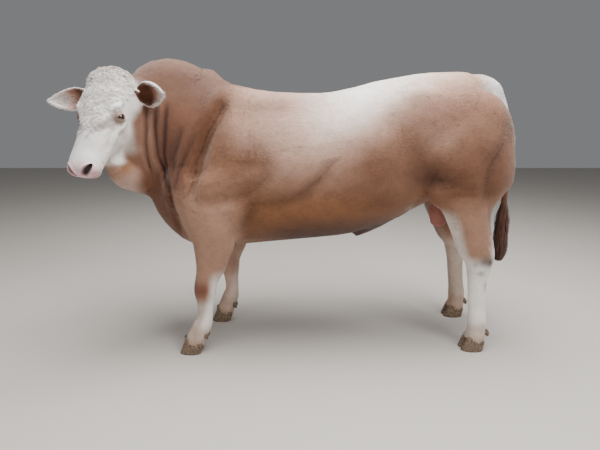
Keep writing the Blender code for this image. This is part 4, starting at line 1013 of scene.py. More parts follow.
def head_marks(colour, points):
    """White face and ears over the neck's colours, and the bare skin of lids, muzzle and nostrils."""
    local, half = to_head(points), to_half(points)
    p, q, r = local.T
    wide = np.abs(q)
    # Gold behind and under the cheek, then the white face
    ear, cup, along = in_ears(local)
    on_head = swell(p, -0.085, -0.06) * fall(wide, 0.155, 0.175)
    gold = blot(p, r, (0.37, -0.26), (0.085, 0.06)) * fall(wide, 0.10, 0.16)
    lay_over(colour, GOLD, 0.9 * gold)
    face_edge = np.interp(p, [-0.09, -0.02, 0.065, 0.13, 0.176, 0.22, 0.28, 0.33, 0.37, 0.395, 0.42, 0.46],
                          [-0.06, -0.118, -0.140, -0.136, -0.148, -0.180, -0.236, -0.266, -0.238, -0.21,
                           -0.205, -0.20])
    white = on_head * swell(r - face_edge, -0.022, 0.020)
    lay_over(colour, WHITE_HAIR, white)
    # Painted shade, grey, down the bridge of the face
    bridge = blot(p, wide, (0.36, 0.02), (0.10, 0.08)) * swell(r, -0.12, -0.06)
    lay_over(colour, FACE_GREY, 0.70 * white * bridge)
    # Painted shade under the curls of the forehead and in patches between their clumps, and a tan top to the
    # poll
    curls = white * curl_share(local)
    lay_over(colour, CURL_SHADE, 0.15 * curls)
    clump_gap_shade = np.sin(190 * q + 3 * np.sin(75 * p)) * np.sin(150 * p + 3 * np.sin(95 * q + 1))
    clump_gap_shade = clump_gap_shade + 0.6 * np.sin(420 * q + 2 * np.sin(160 * p)) * np.sin(380 * p + 2 * np.sin(210 * q))
    colour *= (1 - curls * np.clip(0.34 * clump_gap_shade - 0.05, 0, 0.5))[:, None]
    poll = white * fall(p, -0.035, 0.02)
    lay_over(colour, ROSE_TAN, 0.45 * poll)
    # Ears: white outside and on the rim, brown deep in the cup, partly painted shade of its hollow, and pink
    # towards its mouth
    lay_over(colour, WHITE_HAIR, ear)
    lay_over(colour, EAR_PINK, cup * (0.9 - 0.7 * swell(along, 0.35, 0.72)))
    lay_over(colour, EAR_BROWN, cup * fall(along, 0.20, 0.52))
    # Bare skin: pink at the lids, muzzle and lips; painted shade round each eye, in the folds below it, along
    # the mouth and in the nostrils
    eye = gap_from(half, EYE)
    lay_over(colour, PINK, 0.55 * fall(eye, 0.024, 0.040))
    # Painted shade round the eye, in the fold below its inner corner and in its socket
    lay_over(colour, FOLD_SHADE, 0.65 * fall(eye, 0.021, 0.030))
    corner = line_gap(half[:, :2], [point[:2] for point in FACE_FOLDS[0][0]])
    front = swell(r, -0.12, -0.09)
    lay_over(colour, FOLD_SHADE, 0.70 * fall(corner, 0.003, 0.026) * front * (p < 0.31))
    socket = line_gap(half, FACE_FOLDS[1][0])
    lay_over(colour, FOLD_SHADE, 0.35 * fall(socket, 0.003, 0.014) * fall(eye, 0.05, 0.07))
    head = (p > 0.38) & (p < 0.56) & (r > -0.25) & (wide < 0.12)
    pad = swell(p + 0.10 * np.minimum(r + 0.06, 0), 0.462, 0.492) * head
    lay_over(colour, MUZZLE_PINK, pad)
    lay_over(colour, GREY_PINK, 0.5 * pad * swell(r, -0.085, -0.055))
    lay_over(colour, SOILED_AND_SHADE, 0.45 * head * fall(r, -0.165, -0.135))
    lips = line_gap(half, MOUTH)
    lay_over(colour, PINK, 0.7 * fall(lips, 0.006, 0.016) * head)
    # Painted shade along the mouth's groove
    lay_over(colour, NOSTRIL_DARK, 0.9 * fall(lips, 0.001, 0.005) * head)
    gap = np.full(len(points), 9.0)
    for row in smooth_rows(NOSTRIL, 12):
        arm = half - row[:3]
        deep = arm @ NOSTRIL_WAY
        across = np.linalg.norm(arm - np.outer(deep, NOSTRIL_WAY), axis=1) / row[3]
        gap = np.where((deep > -0.012) & (deep < 0.034), np.minimum(gap, across), gap)
    # Painted shade round the nostril and deep inside it
    lay_over(colour, LIP_SHADE, fall(gap, 0.95, 1.5) * 0.6)
    lay_over(colour, NOSTRIL_DARK, fall(gap, 0.55, 1.02) * 0.98)


def coat_colour(points):
    """The bull's markings at these points: the same for the skin and for the tufts that grow from it."""
    colour = np.tile(TAN, (len(points), 1))
    for marks in (trunk_marks, leg_marks, shade_marks, head_marks):
        marks(colour, points)
    return colour


def curl_share(local):
    """How curly the hair is at points in the head's axes: 1 on poll and forehead, 0 below the eyes' level."""
    wide = np.abs(local[:, 1])
    low = np.interp(wide, [0.0, 0.04, 0.06, 0.075, 0.09, 0.11, 0.13],
                    [0.34, 0.33, 0.27, 0.215, 0.175, 0.14, 0.12])
    front = swell(local[:, 2], -0.13, -0.07) + (local[:, 0] < 0.02)
    behind = swell(local[:, 2] + 0.6 * local[:, 0], -0.17, -0.12)
    return fall(local[:, 0] - low, -0.07, 0.02) * np.clip(front, 0, 1) * behind * fall(wide, 0.118, 0.138)


def wetness(points):
    """How bare and moist the skin is: 1 on the muzzle and round the eyes, 0 on hair."""
    half = to_half(points)
    near_eye = fall(gap_from(half, EYE), 0.020, 0.028)
    muzzle = swell(half[:, 0], 0.455, 0.49) * (gap_from(half, [0.5, 0, -0.1]) < 0.14)
    return np.maximum(near_eye, muzzle)


def plug(made, **inputs):
    """Sets or links a node's inputs, each called by its name, or by _ and its number."""
    for key, value in inputs.items():
        socket = made.inputs[int(key[1:])] if key[0] == "_" else made.inputs[key.replace("_", " ")]
        if isinstance(value, bpy.types.NodeSocket):
            made.id_data.links.new(value, socket)
        else:
            socket.default_value = value


def node(tree, kind, settings=None, **inputs):
    """Adds a shader node of this kind to the tree, with its settings and inputs."""
    made = tree.nodes.new("ShaderNode" + kind)
    for key, value in (settings or {}).items():
        setattr(made, key, value)
    plug(made, **inputs)
    return made


def material(name):
    made = bpy.data.materials.new(name)
    made.use_nodes = True
    return made, made.node_tree, made.node_tree.nodes["Principled BSDF"]


def hair_hide(name, bump=0.35, muzzle=True):
    """Short cattle hair over hide: matt, with a soft sheen along its edges and fine streaks as the hairs lie.

    The streaks are 3 to 5 mm across and about 25 mm long, coarser than hairs so that they show."""
    made, tree, shader = material(name)
    coat = node(tree, "Attribute", {"attribute_name": "coat"})
    where = node(tree, "TexCoord")
    # Noise of about one cell in 3 mm across the body, 5 mm up it and 25 mm along it
    laid = node(tree, "Mapping", Vector=where.outputs["Object"], Scale=(40, 330, 200))
    streaks = node(tree, "TexNoise", Vector=laid.outputs[0], Scale=1.0, Detail=3.0, Roughness=0.6)
    # Patches of 60 mm that are a little lighter or darker
    patches = node(tree, "TexNoise", Vector=where.outputs["Object"], Scale=16.0, Detail=5.0,
                   Roughness=0.65)
    shade = node(tree, "MapRange", Value=patches.outputs["Fac"], From_Min=0.3, From_Max=0.7,
                 To_Min=0.86, To_Max=1.10)
    fleck = node(tree, "MapRange", Value=streaks.outputs["Fac"], From_Min=0.25, From_Max=0.75,
                 To_Min=0.90, To_Max=1.08)
    both = node(tree, "Math", {"operation": "MULTIPLY"}, _0=shade.outputs[0], _1=fleck.outputs[0])
    tinted = node(tree, "VectorMath", {"operation": "SCALE"}, _0=coat.outputs["Color"],
                  Scale=both.outputs[0])
    relief = node(tree, "Bump", Height=streaks.outputs["Fac"], Strength=bump, Distance=0.002)
    if muzzle:
        bare = node(tree, "Attribute", {"attribute_name": "wet"})
        rough = node(tree, "MapRange", Value=bare.outputs["Fac"], To_Min=0.78, To_Max=0.42)
        plug(shader, Roughness=rough.outputs[0])
        # Pebbles of 4 mm on the bare muzzle
        pebbles = node(tree, "TexVoronoi", Vector=where.outputs["Object"], Scale=250.0)
        height = node(tree, "Math", {"operation": "MULTIPLY"}, _0=pebbles.outputs["Distance"],
                      _1=bare.outputs["Fac"])
        relief = node(tree, "Bump", Height=height.outputs[0], Strength=0.4, Distance=0.001,
                      Normal=relief.outputs[0])
    else:
        plug(shader, Roughness=0.8)
    plug(shader, Base_Color=tinted.outputs[0], Normal=relief.outputs[0], Sheen_Weight=0.25,
         Sheen_Roughness=0.5, Specular_IOR_Level=0.3)
    return made


def finished(name, mesh, finish, replaced=()):
    """Puts a mesh that is in the working axes into the frame as a piece of the bull."""
    points, _ = read(mesh)
    write(mesh, points + SHIFT)
    obj = placed(name, mesh)
    mesh.materials.clear()
    mesh.materials.append(finish)
    mesh.polygons.foreach_set("use_smooth", np.full(len(mesh.polygons), True))
    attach(obj, "root")
    if replaced:
        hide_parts(*replaced)
    return obj


def give(mesh, name, values):
    """Stores a colour or a number for each point."""
    kind = "FLOAT_COLOR" if values.ndim == 2 else "FLOAT"
    layer = mesh.attributes.new(name, kind, "POINT")
    if values.ndim == 2:
        opaque = np.hstack([values, np.ones((len(values), 1))])
        layer.data.foreach_set("color", opaque.astype(np.float32).ravel())
    else:
        layer.data.foreach_set("value", values.astype(np.float32))


def triangles(mesh):
    mesh.calc_loop_triangles()
    corners = np.empty(len(mesh.loop_triangles) * 3, int)
    mesh.loop_triangles.foreach_get("vertices", corners)
    return corners.reshape(-1, 3)


def roots_on(points, normals, faces, count, random, density=None):
    """Root points spread over the faces at random, as many on each as its area times the density there."""
    a, b, c = (points[faces[:, k]] for k in range(3))
    area = np.linalg.norm(np.cross(b - a, c - a), axis=1) / 2
    chance = area * density((a + b + c) / 3) if density else area
    pick = random.choice(len(faces), count, p=chance / chance.sum())
    s, t = random.random((2, count))
    over = s + t > 1
    s[over], t[over] = 1 - s[over], 1 - t[over]
    place = a[pick] + (b - a)[pick] * s[:, None] + (c - a)[pick] * t[:, None]
    return place, unit(normals[faces[pick]].mean(1))


def flat_on(vectors, normal):
    """The part of each vector that lies across its normal."""
    return vectors - normal * np.einsum("ij,ij->i", vectors, normal)[:, None]


def closed_locks(line, wide, deep, normal):
    """Locks as closed solids: rings of four points along each line, and a point at its tip."""
    count, rings = len(line), line.shape[1] - 1
    middle = line[:, :-1]
    body = np.stack([middle + wide, middle + deep, middle - wide, middle - deep], 2)
    points = np.concatenate([body.reshape(count, -1, 3), line[:, -1:]], 1)
    step, k = np.meshgrid(np.arange(rings - 1), np.arange(4), indexing="ij")
    a, b = step * 4 + k, step * 4 + (k + 1) % 4
    k = np.arange(4)
    last = (rings - 1) * 4
    tip = np.stack([last + k, last + (k + 1) % 4, np.full(4, rings * 4)], -1)
    faces = np.vstack([halved(a, b, b + 4, a + 4), tip, [(0, 2, 1), (0, 3, 2)]])
    return repeated(points, faces, normal)


def locks(root, normal, lay, length, width, thick, lift, curl=0.0, sag=0.0, rings=3):
    """Tapered locks that leave the skin, settle and turn.

    The path leaves the root along lay, rises by lift times its length and settles as a sine, and turns
    sideways by curl, an angle that grows along it. The ring's half sizes taper as the square root of one less
    the share of the length to the power 1.6."""
    count = len(root)
    ones = np.ones(count)
    length, width, thick, lift, curl = (np.asarray(v) * ones for v in (length, width, thick, lift, curl))
    lay = unit(flat_on(lay, normal))
    across = np.cross(normal, lay)
    fine = 12
    t = np.linspace(0, 1, fine * rings + 1)
    angle = curl[:, None] * (t - 0.3)
    ahead = lay[:, None] * np.cos(angle)[..., None] + across[:, None] * np.sin(angle)[..., None]
    path = np.cumsum(ahead, 1) / (fine * rings)
    path = (path - path[:, :1])[:, ::fine]
    t = t[::fine]
    place = root[:, None] + path * length[:, None, None]
    rise = lift[:, None] * length[:, None] * np.sin(math.pi * np.minimum(t * 0.9 + 0.02, 1))
    rise = rise - 0.12 * thick[:, None]
    place = place + normal[:, None] * rise[..., None]
    place[..., 2] -= sag * length[:, None] * t**2
    heading = ahead[:, ::fine]
    side = np.cross(np.repeat(normal[:, None], len(t), 1), heading)
    taper = np.sqrt(np.maximum(1 - t**1.6, 0)) * (0.65 + 0.35 * np.sin(math.pi * np.minimum(t + 0.25, 1)))
    taper = taper[:rings]
    wide = side[:, :rings] * (width[:, None] / 2 * taper)[..., None]
    deep = normal[:, None] * (thick[:, None] / 2 * taper)[..., None]
    return closed_locks(place, wide, deep, normal)


def repeated(points, faces, normal):
    """One shape's faces for each copy of its points, turned outwards, with the skin's way at each copy."""
    faces = outward(points[0] - points[0].mean(0), faces)
    every = (faces[None] + (np.arange(len(points)) * points.shape[1])[:, None, None]).reshape(-1, 3)
    return points.reshape(-1, 3), every, points.shape[1], normal


def short_hairs(tree, root, normal, lay, length, width, thick, random):
    """Short flat tufts as spindles of six faces: a root in the skin, a flat ring of three points and a tip.

    The ring lies a little over a third of the way along, and its middle a tuft's thickness above the skin.
    Both ring and tip are laid on the skin where it is nearest to them, so no tuft stands off it."""
    count = len(root)
    lay = unit(flat_on(lay, normal))
    across = np.cross(normal, lay)
    long = (length * random.uniform(0.7, 1.3, count))[:, None]
    wide = width / 2 * random.uniform(0.8, 1.2, (count, 1))
    high = thick * random.uniform(0.7, 1.4, (count, 1))
    bend = across * long * random.normal(0, 0.05, (count, 1))
    belly = np.array([tree.find_nearest(at)[0] for at in (root + lay * long * 0.38).tolist()])
    tip = np.array([tree.find_nearest(at)[0] for at in (root + lay * long + bend).tolist()])
    points = np.stack([root - normal * 0.4 * thick, belly + across * wide + normal * 0.1 * high,
                       belly + normal * high, belly - across * wide + normal * 0.1 * high,
                       tip + normal * random.uniform(-0.3, 0.7, (count, 1)) * thick], 1)
    faces = np.array([(0, 1, 2), (0, 2, 3), (0, 3, 1), (4, 2, 1), (4, 3, 2), (4, 1, 3)])
    return repeated(points, faces, normal)


def around_body(points):
    """An unwrap of the trunk: angle round its long axis, and length along it."""
    x, y, z = points.T
    return np.stack([np.arctan2(y, z - 1.05) / (2 * math.pi) + 0.5, (x + 1.25) / 2.6], 1)


def around_head(points):
    """An unwrap of the head: angle round its long axis, and length down the face."""
    p, q, r = to_head(points).T
    return np.stack([np.arctan2(q, r + 0.11) / (2 * math.pi) + 0.5, (p + 0.25) / 0.85], 1)


def around_legs(points):
    """An unwrap of the four legs, each in its own quarter: angle round the leg, and height."""
    x, y, z = points.T
    fore = x < 0.3
    middle_x = np.where(fore, -0.52, 0.97)
    angle = np.arctan2(np.abs(y) - 0.24, x - middle_x) / (2 * math.pi) + 0.5
    height = np.clip(z, 0, 1.2) / 1.2
    return np.stack([(angle * 0.9 + 0.05 + fore) / 2, (height * 0.9 + 0.05 + (y > 0)) / 2], 1)


def add_hair(name, groups, finish, unwrap, shade=0.12, seed=1, colour=coat_colour):
    """Joins groups of locks into one piece with the coat's colours and its own bake map.

    The shading leans on the skin's own direction at each root, so the flat tufts are lit as the skin is."""
    random = np.random.default_rng(seed)
    starts = np.cumsum([0] + [len(g[0]) for g in groups[:-1]])
    points = np.vstack([g[0] for g in groups])
    faces = np.vstack([g[1] + s for g, s in zip(groups, starts)])
    mesh = mesh_of(name, points, faces)
    tint, spot, lean = [], [], []
    for flat, _, size, normal in groups:
        root = flat.reshape(-1, size, 3)[:, :4].mean(1)
        own = colour(root) * (1 + shade * random.uniform(-1, 1, (len(root), 1)))
        tint.append(np.repeat(own, size, 0))
        lean.append(np.repeat(normal, size, 0))
        corner = np.stack([np.cos(np.arange(size) * 2.4), np.sin(np.arange(size) * 2.4)], 1) * 0.0015
        corner = corner * np.linspace(0.5, 1, size)[:, None]
        spot.append((np.clip(unwrap(root), 0.004, 0.996)[:, None] + corner[None]).reshape(-1, 2))
    give(mesh, "coat", np.clip(np.vstack(tint), 0, 1))
    layer = mesh.uv_layers.new(name="OFBake")
    corners = np.empty(len(mesh.loops), int)
    mesh.loops.foreach_get("vertex_index", corners)
    layer.data.foreach_set("uv", np.vstack(spot)[corners].astype(np.float32).ravel())
    obj = finished(name, mesh, finish)
    _, normals = read(mesh)
    mesh.normals_split_custom_set_from_vertices(unit(0.35 * normals + np.vstack(lean)))
    return obj


def lay_of_coat(points):
    """The way the hair lies: back along the trunk, down the legs and neck, outwards from the forehead."""
    x, y, z = points.T
    count = len(points)
    lay = np.tile([1.0, 0.0, -0.35], (count, 1))
    legs = fall(z, 0.55, 0.80)[:, None]
    lay = lay * (1 - legs) + np.array([0.15, 0, -1.0]) * legs
    neck = fall(x, -0.70, -0.40)[:, None]
    lay = lay * (1 - neck) + np.array([0.45, 0, -0.9]) * neck
    local = to_head(points)
    face = ((local[:, 0] > -0.05) & (gap_from(local, [0.2, 0, -0.12]) < 0.34))[:, None]
    spread = np.stack([np.full(count, 1.0), 1.6 * local[:, 1] / 0.12, np.full(count, -0.3)], 1) @ TURN.T
    return np.where(face, spread, lay)


def head_share(points):
    """True for the points on the head in front of the neck."""
    local = to_head(points)
    return (local[:, 0] > -0.12) & (local[:, 0] < 0.56) & (local[:, 2] > -0.30) & (np.abs(local[:, 1]) < 0.4)


def make_coat(skin, finish):
    """Short tufts over the skin in a piece for each part, shortest on the face, and curls and ear hair."""
    points, normals = read(skin)
    faces = triangles(skin)
    bare = wetness(points)
    middle = points[faces].mean(1)
    open_skin = bare[faces].max(1) < 0.2
    tree = BVHTree.FromPolygons(points.tolist(), faces.tolist())
    head = head_share(middle)
    neck = ~head & (middle[:, 0] < -0.42) & (middle[:, 2] > 0.72)
    legs = ~head & ~neck & (middle[:, 2] < 0.62) & (middle[:, 2] > 0.075)
    tail = middle[:, 0] > 1.165
    body = ~head & ~neck & ~legs & (middle[:, 2] > 0.3)
    left = middle[:, 1] < 0
    # Piece, its faces, how many tufts, their length, width and thickness, unwrap and seed
    plans = [
        ("neck_coat", neck, 31000, 0.020, 0.0036, 0.0008, around_body, 11),
        ("body_coat", body & left & ~tail, 32000, 0.022, 0.0040, 0.0008, around_body, 12),
        ("body_coat", body & ~left & ~tail, 32000, 0.022, 0.0040, 0.0008, around_body, 15),
        ("tail_coat", body & tail, 3500, 0.020, 0.0032, 0.0009, around_body, 16),
        ("leg_coat", legs, 30000, 0.013, 0.0026, 0.0007, around_legs, 13),
        ("face_coat", head & open_skin, 26000, 0.008, 0.0018, 0.0005, around_head, 14),
    ]
    for name, chosen, count, length, width, thick, unwrap, seed in plans:
        random = np.random.default_rng(seed)
        root, normal = roots_on(points, normals, faces[chosen], count, random)
        lay = lay_of_coat(root) + random.normal(0, 0.14, (count, 3))
        group = short_hairs(tree, root, normal, lay, length, width, thick, random)
        add_hair(f"{name}_{seed}", [group], finish, unwrap, seed=seed, shade=0.09)
    add_hair("poll_curls", [poll_curls(points, normals, faces[head & open_skin])], finish,
             around_head, seed=17, shade=0.10)
    add_hair("ear_hair", ear_hair(points, normals, faces[head]), finish, around_head, seed=18)


def poll_curls(points, normals, faces):
    """Short curled clumps over the poll and forehead, down to the level of the eyes.

    Each clump is a whorl: its locks start close together, set out nearly the same way and turn one way."""
    random = np.random.default_rng(21)
    clumps, each = CURL_CLUMPS, CURLS_EACH
    root, normal = roots_on(points, normals, faces, clumps, random, lambda at: curl_share(to_head(at)) + 1e-9)
    local = to_head(root)
    size = 0.027 * (1 - 0.45 * swell(local[:, 0], 0.02, 0.28)) * random.uniform(0.8, 1.25, clumps)
    lay = random.normal(0, 1, (clumps, 3)) + TURN[:, 0] * 0.9
    turn = random.choice([-1, 1], clumps) * random.uniform(2.4, 4.2, clumps)
    count = clumps * each
    own = np.repeat(np.arange(clumps), each)
    jitter = random.normal(0, 1, (count, 3)) * size[own, None] * 0.20
    jitter = flat_on(jitter, normal[own])
    lay = lay[own] + random.normal(0, 0.30, (count, 3))
    return locks(root[own] + jitter, normal[own], lay, size[own] * random.uniform(0.7, 1.1, count),
                 0.0040, 0.0032, random.uniform(0.10, 0.30, count),
                 curl=turn[own] * random.uniform(0.8, 1.2, count), rings=4)


def ear_hair(points, normals, faces):
    """Longer hair all over the ears, laid to their tips, longest and most raised inside the cups."""
    random = np.random.default_rng(22)
    groups = []
    on, _, _ = in_ears(to_head(points[faces].mean(1)))
    faces = faces[on > 0.5]
    for root_at, axis, opening, ear_length, _ in EARS.values():
        way, gape, _ = ear_axes(axis, opening)
        reach = to_head(points[faces].mean(1)) - root_at
        mine = faces[(reach @ way > 0.025) & (np.linalg.norm(reach, axis=1) < ear_length + 0.04)]
        count = EAR_HAIRS
        root, normal = roots_on(points, normals, mine, count, random)
        _, cup, _ = in_ears(to_head(root))
        lay = np.tile(TURN @ (way + 0.15 * gape), (count, 1)) + random.normal(0, 0.22, (count, 3))
        length = random.uniform(0.010, 0.020, count) * (1 + 0.3 * cup)
        lift = random.uniform(0.04, 0.12, count) + 0.15 * cup
        curl = random.normal(0, 0.4, count)
        groups.append(locks(root, normal, lay, length, 0.0028, 0.0009, lift, curl=curl, sag=0.10))
    return groups


def make_eyes():
    """Eyeballs with a dark brown iris and a long pupil under a clear cornea, and the lids' moist rims."""
    ball_finish, tree, shader = material("wet dark eye")
    # The film of tears gives a sharp highlight; the ball is nearly black, with a brown iris and a pale edge
    where = node(tree, "Attribute", {"attribute_name": "gaze"})
    ramp = node(tree, "ValToRGB", Fac=where.outputs["Fac"])
    stops = ramp.color_ramp.elements
    stops[0].position, stops[0].color = 0.0, (*linear("#0A0707"), 1)
    stops[1].position, stops[1].color = 1.0, (*linear("#C9B4A8"), 1)
    for at, code in ((0.34, "#0A0707"), (0.42, "#2A1812"), (0.70, "#3A241A"), (0.80, "#20130F"),
                     (0.88, "#A58E84")):
        stop = stops.new(at)
        stop.color = (*linear(code), 1)
    plug(shader, Base_Color=ramp.outputs["Color"], Roughness=0.08, Coat_Weight=1.0, Coat_Roughness=0.03)
    rim_finish, tree, shader = material("moist lid rim")
    where = node(tree, "TexCoord")
    # Bare moist skin shines dully, with creases of 2 mm
    grain = node(tree, "TexNoise", Vector=where.outputs["Object"], Scale=500.0, Detail=2.0)
    ramp = node(tree, "ValToRGB", Fac=grain.outputs["Fac"])
    ramp.color_ramp.elements[0].color = (*linear("#3A2725"), 1)
    ramp.color_ramp.elements[1].color = (*linear("#7F5B53"), 1)
    bump = node(tree, "Bump", Height=grain.outputs["Fac"], Strength=0.3, Distance=0.0005)
    plug(shader, Base_Color=ramp.outputs["Color"], Normal=bump.outputs[0], Roughness=0.35)
    lash_groups = []
    for q, name in ((1, "left"), (-1, "right")):
        out, inner, up = eye_axes(q)
        centre = np.array(EYE) * [1, q, 1]
        rows, around = 40, 48
        high = np.linspace(0, math.pi, rows + 2)[1:-1]
        # The cornea is a low dome over the front 30 degrees of the ball
        unit_ball = globe(high, around, 1 + CORNEA * np.exp(-(high / 0.55) ** 4), 1 + CORNEA)
        way = unit_ball[:, :1] * inner + unit_ball[:, 1:2] * up + unit_ball[:, 2:] * out
        points = from_head(centre + EYE_RADIUS * way)
        mesh = mesh_of("eye_" + name, points, outward(points, ring_faces(rows, around)))
        flat = unit(unit_ball)
        # The pupil is a lying oval, so distance from the gaze counts less along the slit
        gaze = np.hypot(flat[:, 0] * 0.75, flat[:, 1]) / 0.85
        gaze = np.where(flat[:, 2] > 0, gaze, 1.0)
        give(mesh, "gaze", np.clip(gaze, 0, 1))
        finished("eyeball_" + name, mesh, ball_finish, ("eye_" + name,))
        turn = circle(48)
        u = LID_HALF * np.cos(turn)
        v = np.where(np.sin(turn) > 0, LID_RISE, -LID_DROP) * np.abs(np.sin(turn)) ** 1.4
        arm = inner * u[:, None] + up * v[:, None]
        depth = np.sqrt((EYE_RADIUS + 0.0022) ** 2 - u**2 - v**2)
        line = centre + arm + out * depth[:, None]
        rim = ring_tube(line, 0.0017, 8)
        mesh = mesh_of("lid_rim_" + name, from_head(rim[0]), rim[1])
        finished("lid_rim_" + name, mesh, rim_finish)
        # Lashes grow from the upper rim and bend outwards and down
        upper = line[v > 0.0025]
        random = np.random.default_rng(30 + q)
        root = np.repeat(upper, 2, 0) + random.normal(0, 0.0007, (len(upper) * 2, 3))
        lay = out + 0.35 * up + random.normal(0, 0.14, (len(root), 3))
        lash_groups.append(locks(from_head(root), np.tile(TURN @ up, (len(root), 1)), lay @ TURN.T,
                                 random.uniform(0.009, 0.013, len(root)), 0.0008, 0.0006, 0.10, sag=0.25))
    return lash_groups


def ring_tube(line, radius, sides):
    """A closed ring of tube round a closed line: circles across the line's own direction."""
    ahead = unit(np.roll(line, -1, 0) - np.roll(line, 1, 0))
    first = unit(np.cross(ahead, [0.31, 0.52, 0.79]))
    second = np.cross(ahead, first)
    angle = circle(sides)[:, None]
    points = line[:, None] + radius * (first[:, None] * np.cos(angle) + second[:, None] * np.sin(angle))
    rows = len(line)
    ring, step = np.meshgrid(np.arange(rows), np.arange(sides), indexing="ij")
    a, b = ring * sides + step, ring * sides + (step + 1) % sides
    c, d = (ring + 1) % rows * sides + (step + 1) % sides, (ring + 1) % rows * sides + step
    flat = points.reshape(-1, 3)
    return flat, outward(flat - flat.mean(0), halved(a, b, c, d))


def make_switch(finish):
    """The tail's switch: long wavy locks that leave the tail in a spiral, hang past one another and taper."""
    random = np.random.default_rng(41)
    count = SWITCH_LOCKS
    share = np.sort(random.random(count))
    angle = np.arange(count) * math.radians(137.5)
    start = 0.82 - 0.24 * share
    away = np.stack([np.cos(angle), np.sin(angle), np.zeros(count)], 1)
    root = np.stack([np.full(count, SWITCH_X), np.zeros(count), start], 1) + away * 0.010
    length = np.minimum(random.uniform(0.17, 0.27, count), start - 0.462)
    t = np.linspace(0, 1, 9)
    belly = np.sin(math.pi * np.clip(t * 0.9 + 0.05, 0, 1)) ** 0.8
    out = random.uniform(0.010, 0.034, count)[:, None] * belly
    wave = random.uniform(0.002, 0.006, count)[:, None] * np.sin(random.uniform(8, 14, count)[:, None] * t
                                                                 + random.uniform(0, 6.3, count)[:, None])
    side = np.stack([-away[:, 1], away[:, 0], away[:, 2]], 1)
    line = root[:, None] + away[:, None] * out[..., None] + side[:, None] * wave[..., None]
    line = line + np.array([0, 0, -1.0]) * (length[:, None] * t)[..., None]
    taper = np.sqrt(np.maximum(1 - t**2.2, 0))[:-1]
    wide = side[:, None] * (random.uniform(0.0028, 0.0048, count)[:, None] * taper)[..., None]
    deep = away[:, None] * (0.0016 * taper)[None, :, None]

    def brown(at):
        tips = swell(0.80 - at[:, 2], 0.0, 0.30)[:, None]
        return SWITCH_BROWN * (1 - 0.35 * tips)

    def unwrap(at):
        angle = np.arctan2(at[:, 1], at[:, 0] - SWITCH_X)
        return np.stack([angle / (2 * math.pi) + 0.5, (at[:, 2] - 0.4) / 0.5], 1)

    obj = add_hair("switch_hair", [closed_locks(line, wide, deep, away)], finish, unwrap,
                   shade=0.35, seed=42, colour=brown)
    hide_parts("tail_switch")


def make_hooves():
    """Claws: rings from the flat sole to the slanted coronet, the toe drawn forward, the horn ringed."""
    finish, tree, shader = material("weathered hoof horn")
    where = node(tree, "TexCoord")
    # Worn horn is dull and grey brown, with level growth rings 12 mm apart and scuffs of 10 mm
    bands = node(tree, "TexWave", {"wave_type": "BANDS", "bands_direction": "Z"},
                 Vector=where.outputs["Object"], Scale=26.0, Distortion=2.5, Detail=2.0)
    scuffs = node(tree, "TexNoise", Vector=where.outputs["Object"], Scale=100.0, Detail=4.0)
    ramp = node(tree, "ValToRGB", Fac=scuffs.outputs["Fac"])
    ramp.color_ramp.elements[0].color = (*linear("#4E3E33"), 1)
    ramp.color_ramp.elements[0].position = 0.35
    ramp.color_ramp.elements[1].color = (*linear("#8A745C"), 1)
    ramp.color_ramp.elements[1].position = 0.70
    height = node(tree, "Math", {"operation": "ADD"}, _0=bands.outputs["Fac"], _1=scuffs.outputs["Fac"])
    bump = node(tree, "Bump", Height=height.outputs[0], Strength=0.25, Distance=0.0006)
    plug(shader, Base_Color=ramp.outputs["Color"], Normal=bump.outputs[0], Roughness=0.55)
    around, rows = 40, 14
    angle = circle(around)
    rise = np.linspace(0, 1.12, rows)[:, None]
    size = np.interp(rise, [0, 0.04, 0.10, 0.45, 1.0, 1.12], [0.985, 1.02, 1.04, 0.97, 0.86, 0.80])
    size = size * (1 + 0.006 * np.sin(rise * 38) * (rise > 0.05))
    toe = np.cos(angle)[None]
    for x, y, name in FEET:
        for away in (-1, 1):
            which = "outer" if (away < 0) == (y < 0) else "inner"
            along = CLAW_LENGTH / 2 * size * toe + (1 - rise) * CLAW_REACH
            across = away * CLAW_WIDTH / 2 * size * np.sign(np.sin(angle)) * np.abs(np.sin(angle)) ** 0.8
            across = across - away * 0.008 * np.maximum(toe, 0) ** 2 * (1 - rise)
            across = across + away * (CLAW_WIDTH + CLAW_GAP) / 2
            top = CORONET_HEIGHT + CORONET_SLOPE * (CLAW_LENGTH / 2 * size * toe)
            height = rise * top
            shell = np.stack([x - along, y + across, height], -1)
            ends = [shell[0].mean(0), shell[-1].mean(0)]
            points = np.vstack([shell.reshape(-1, 3), ends])
            mesh = mesh_of("claw", points, outward(points, ring_faces(rows, around)))
            finished(f"claw_{name}_{which}", mesh, finish, (f"hoof_{name}_{which}",))
            back = np.array([x + (0.060 if "hind" in name else 0.068), y + away * 0.022, 0.108])
            spur = loft([(*(back + [dx, 0, dz]), wide, deep, deep) for dx, dz, wide, deep in DEWCLAW],
                        ahead=(1, 0, 0), steps=14, around=18)
            finished(f"spur_{name}_{which}", mesh_of("spur", *spur), finish,
                     (f"dewclaw_{name}_{which}",))


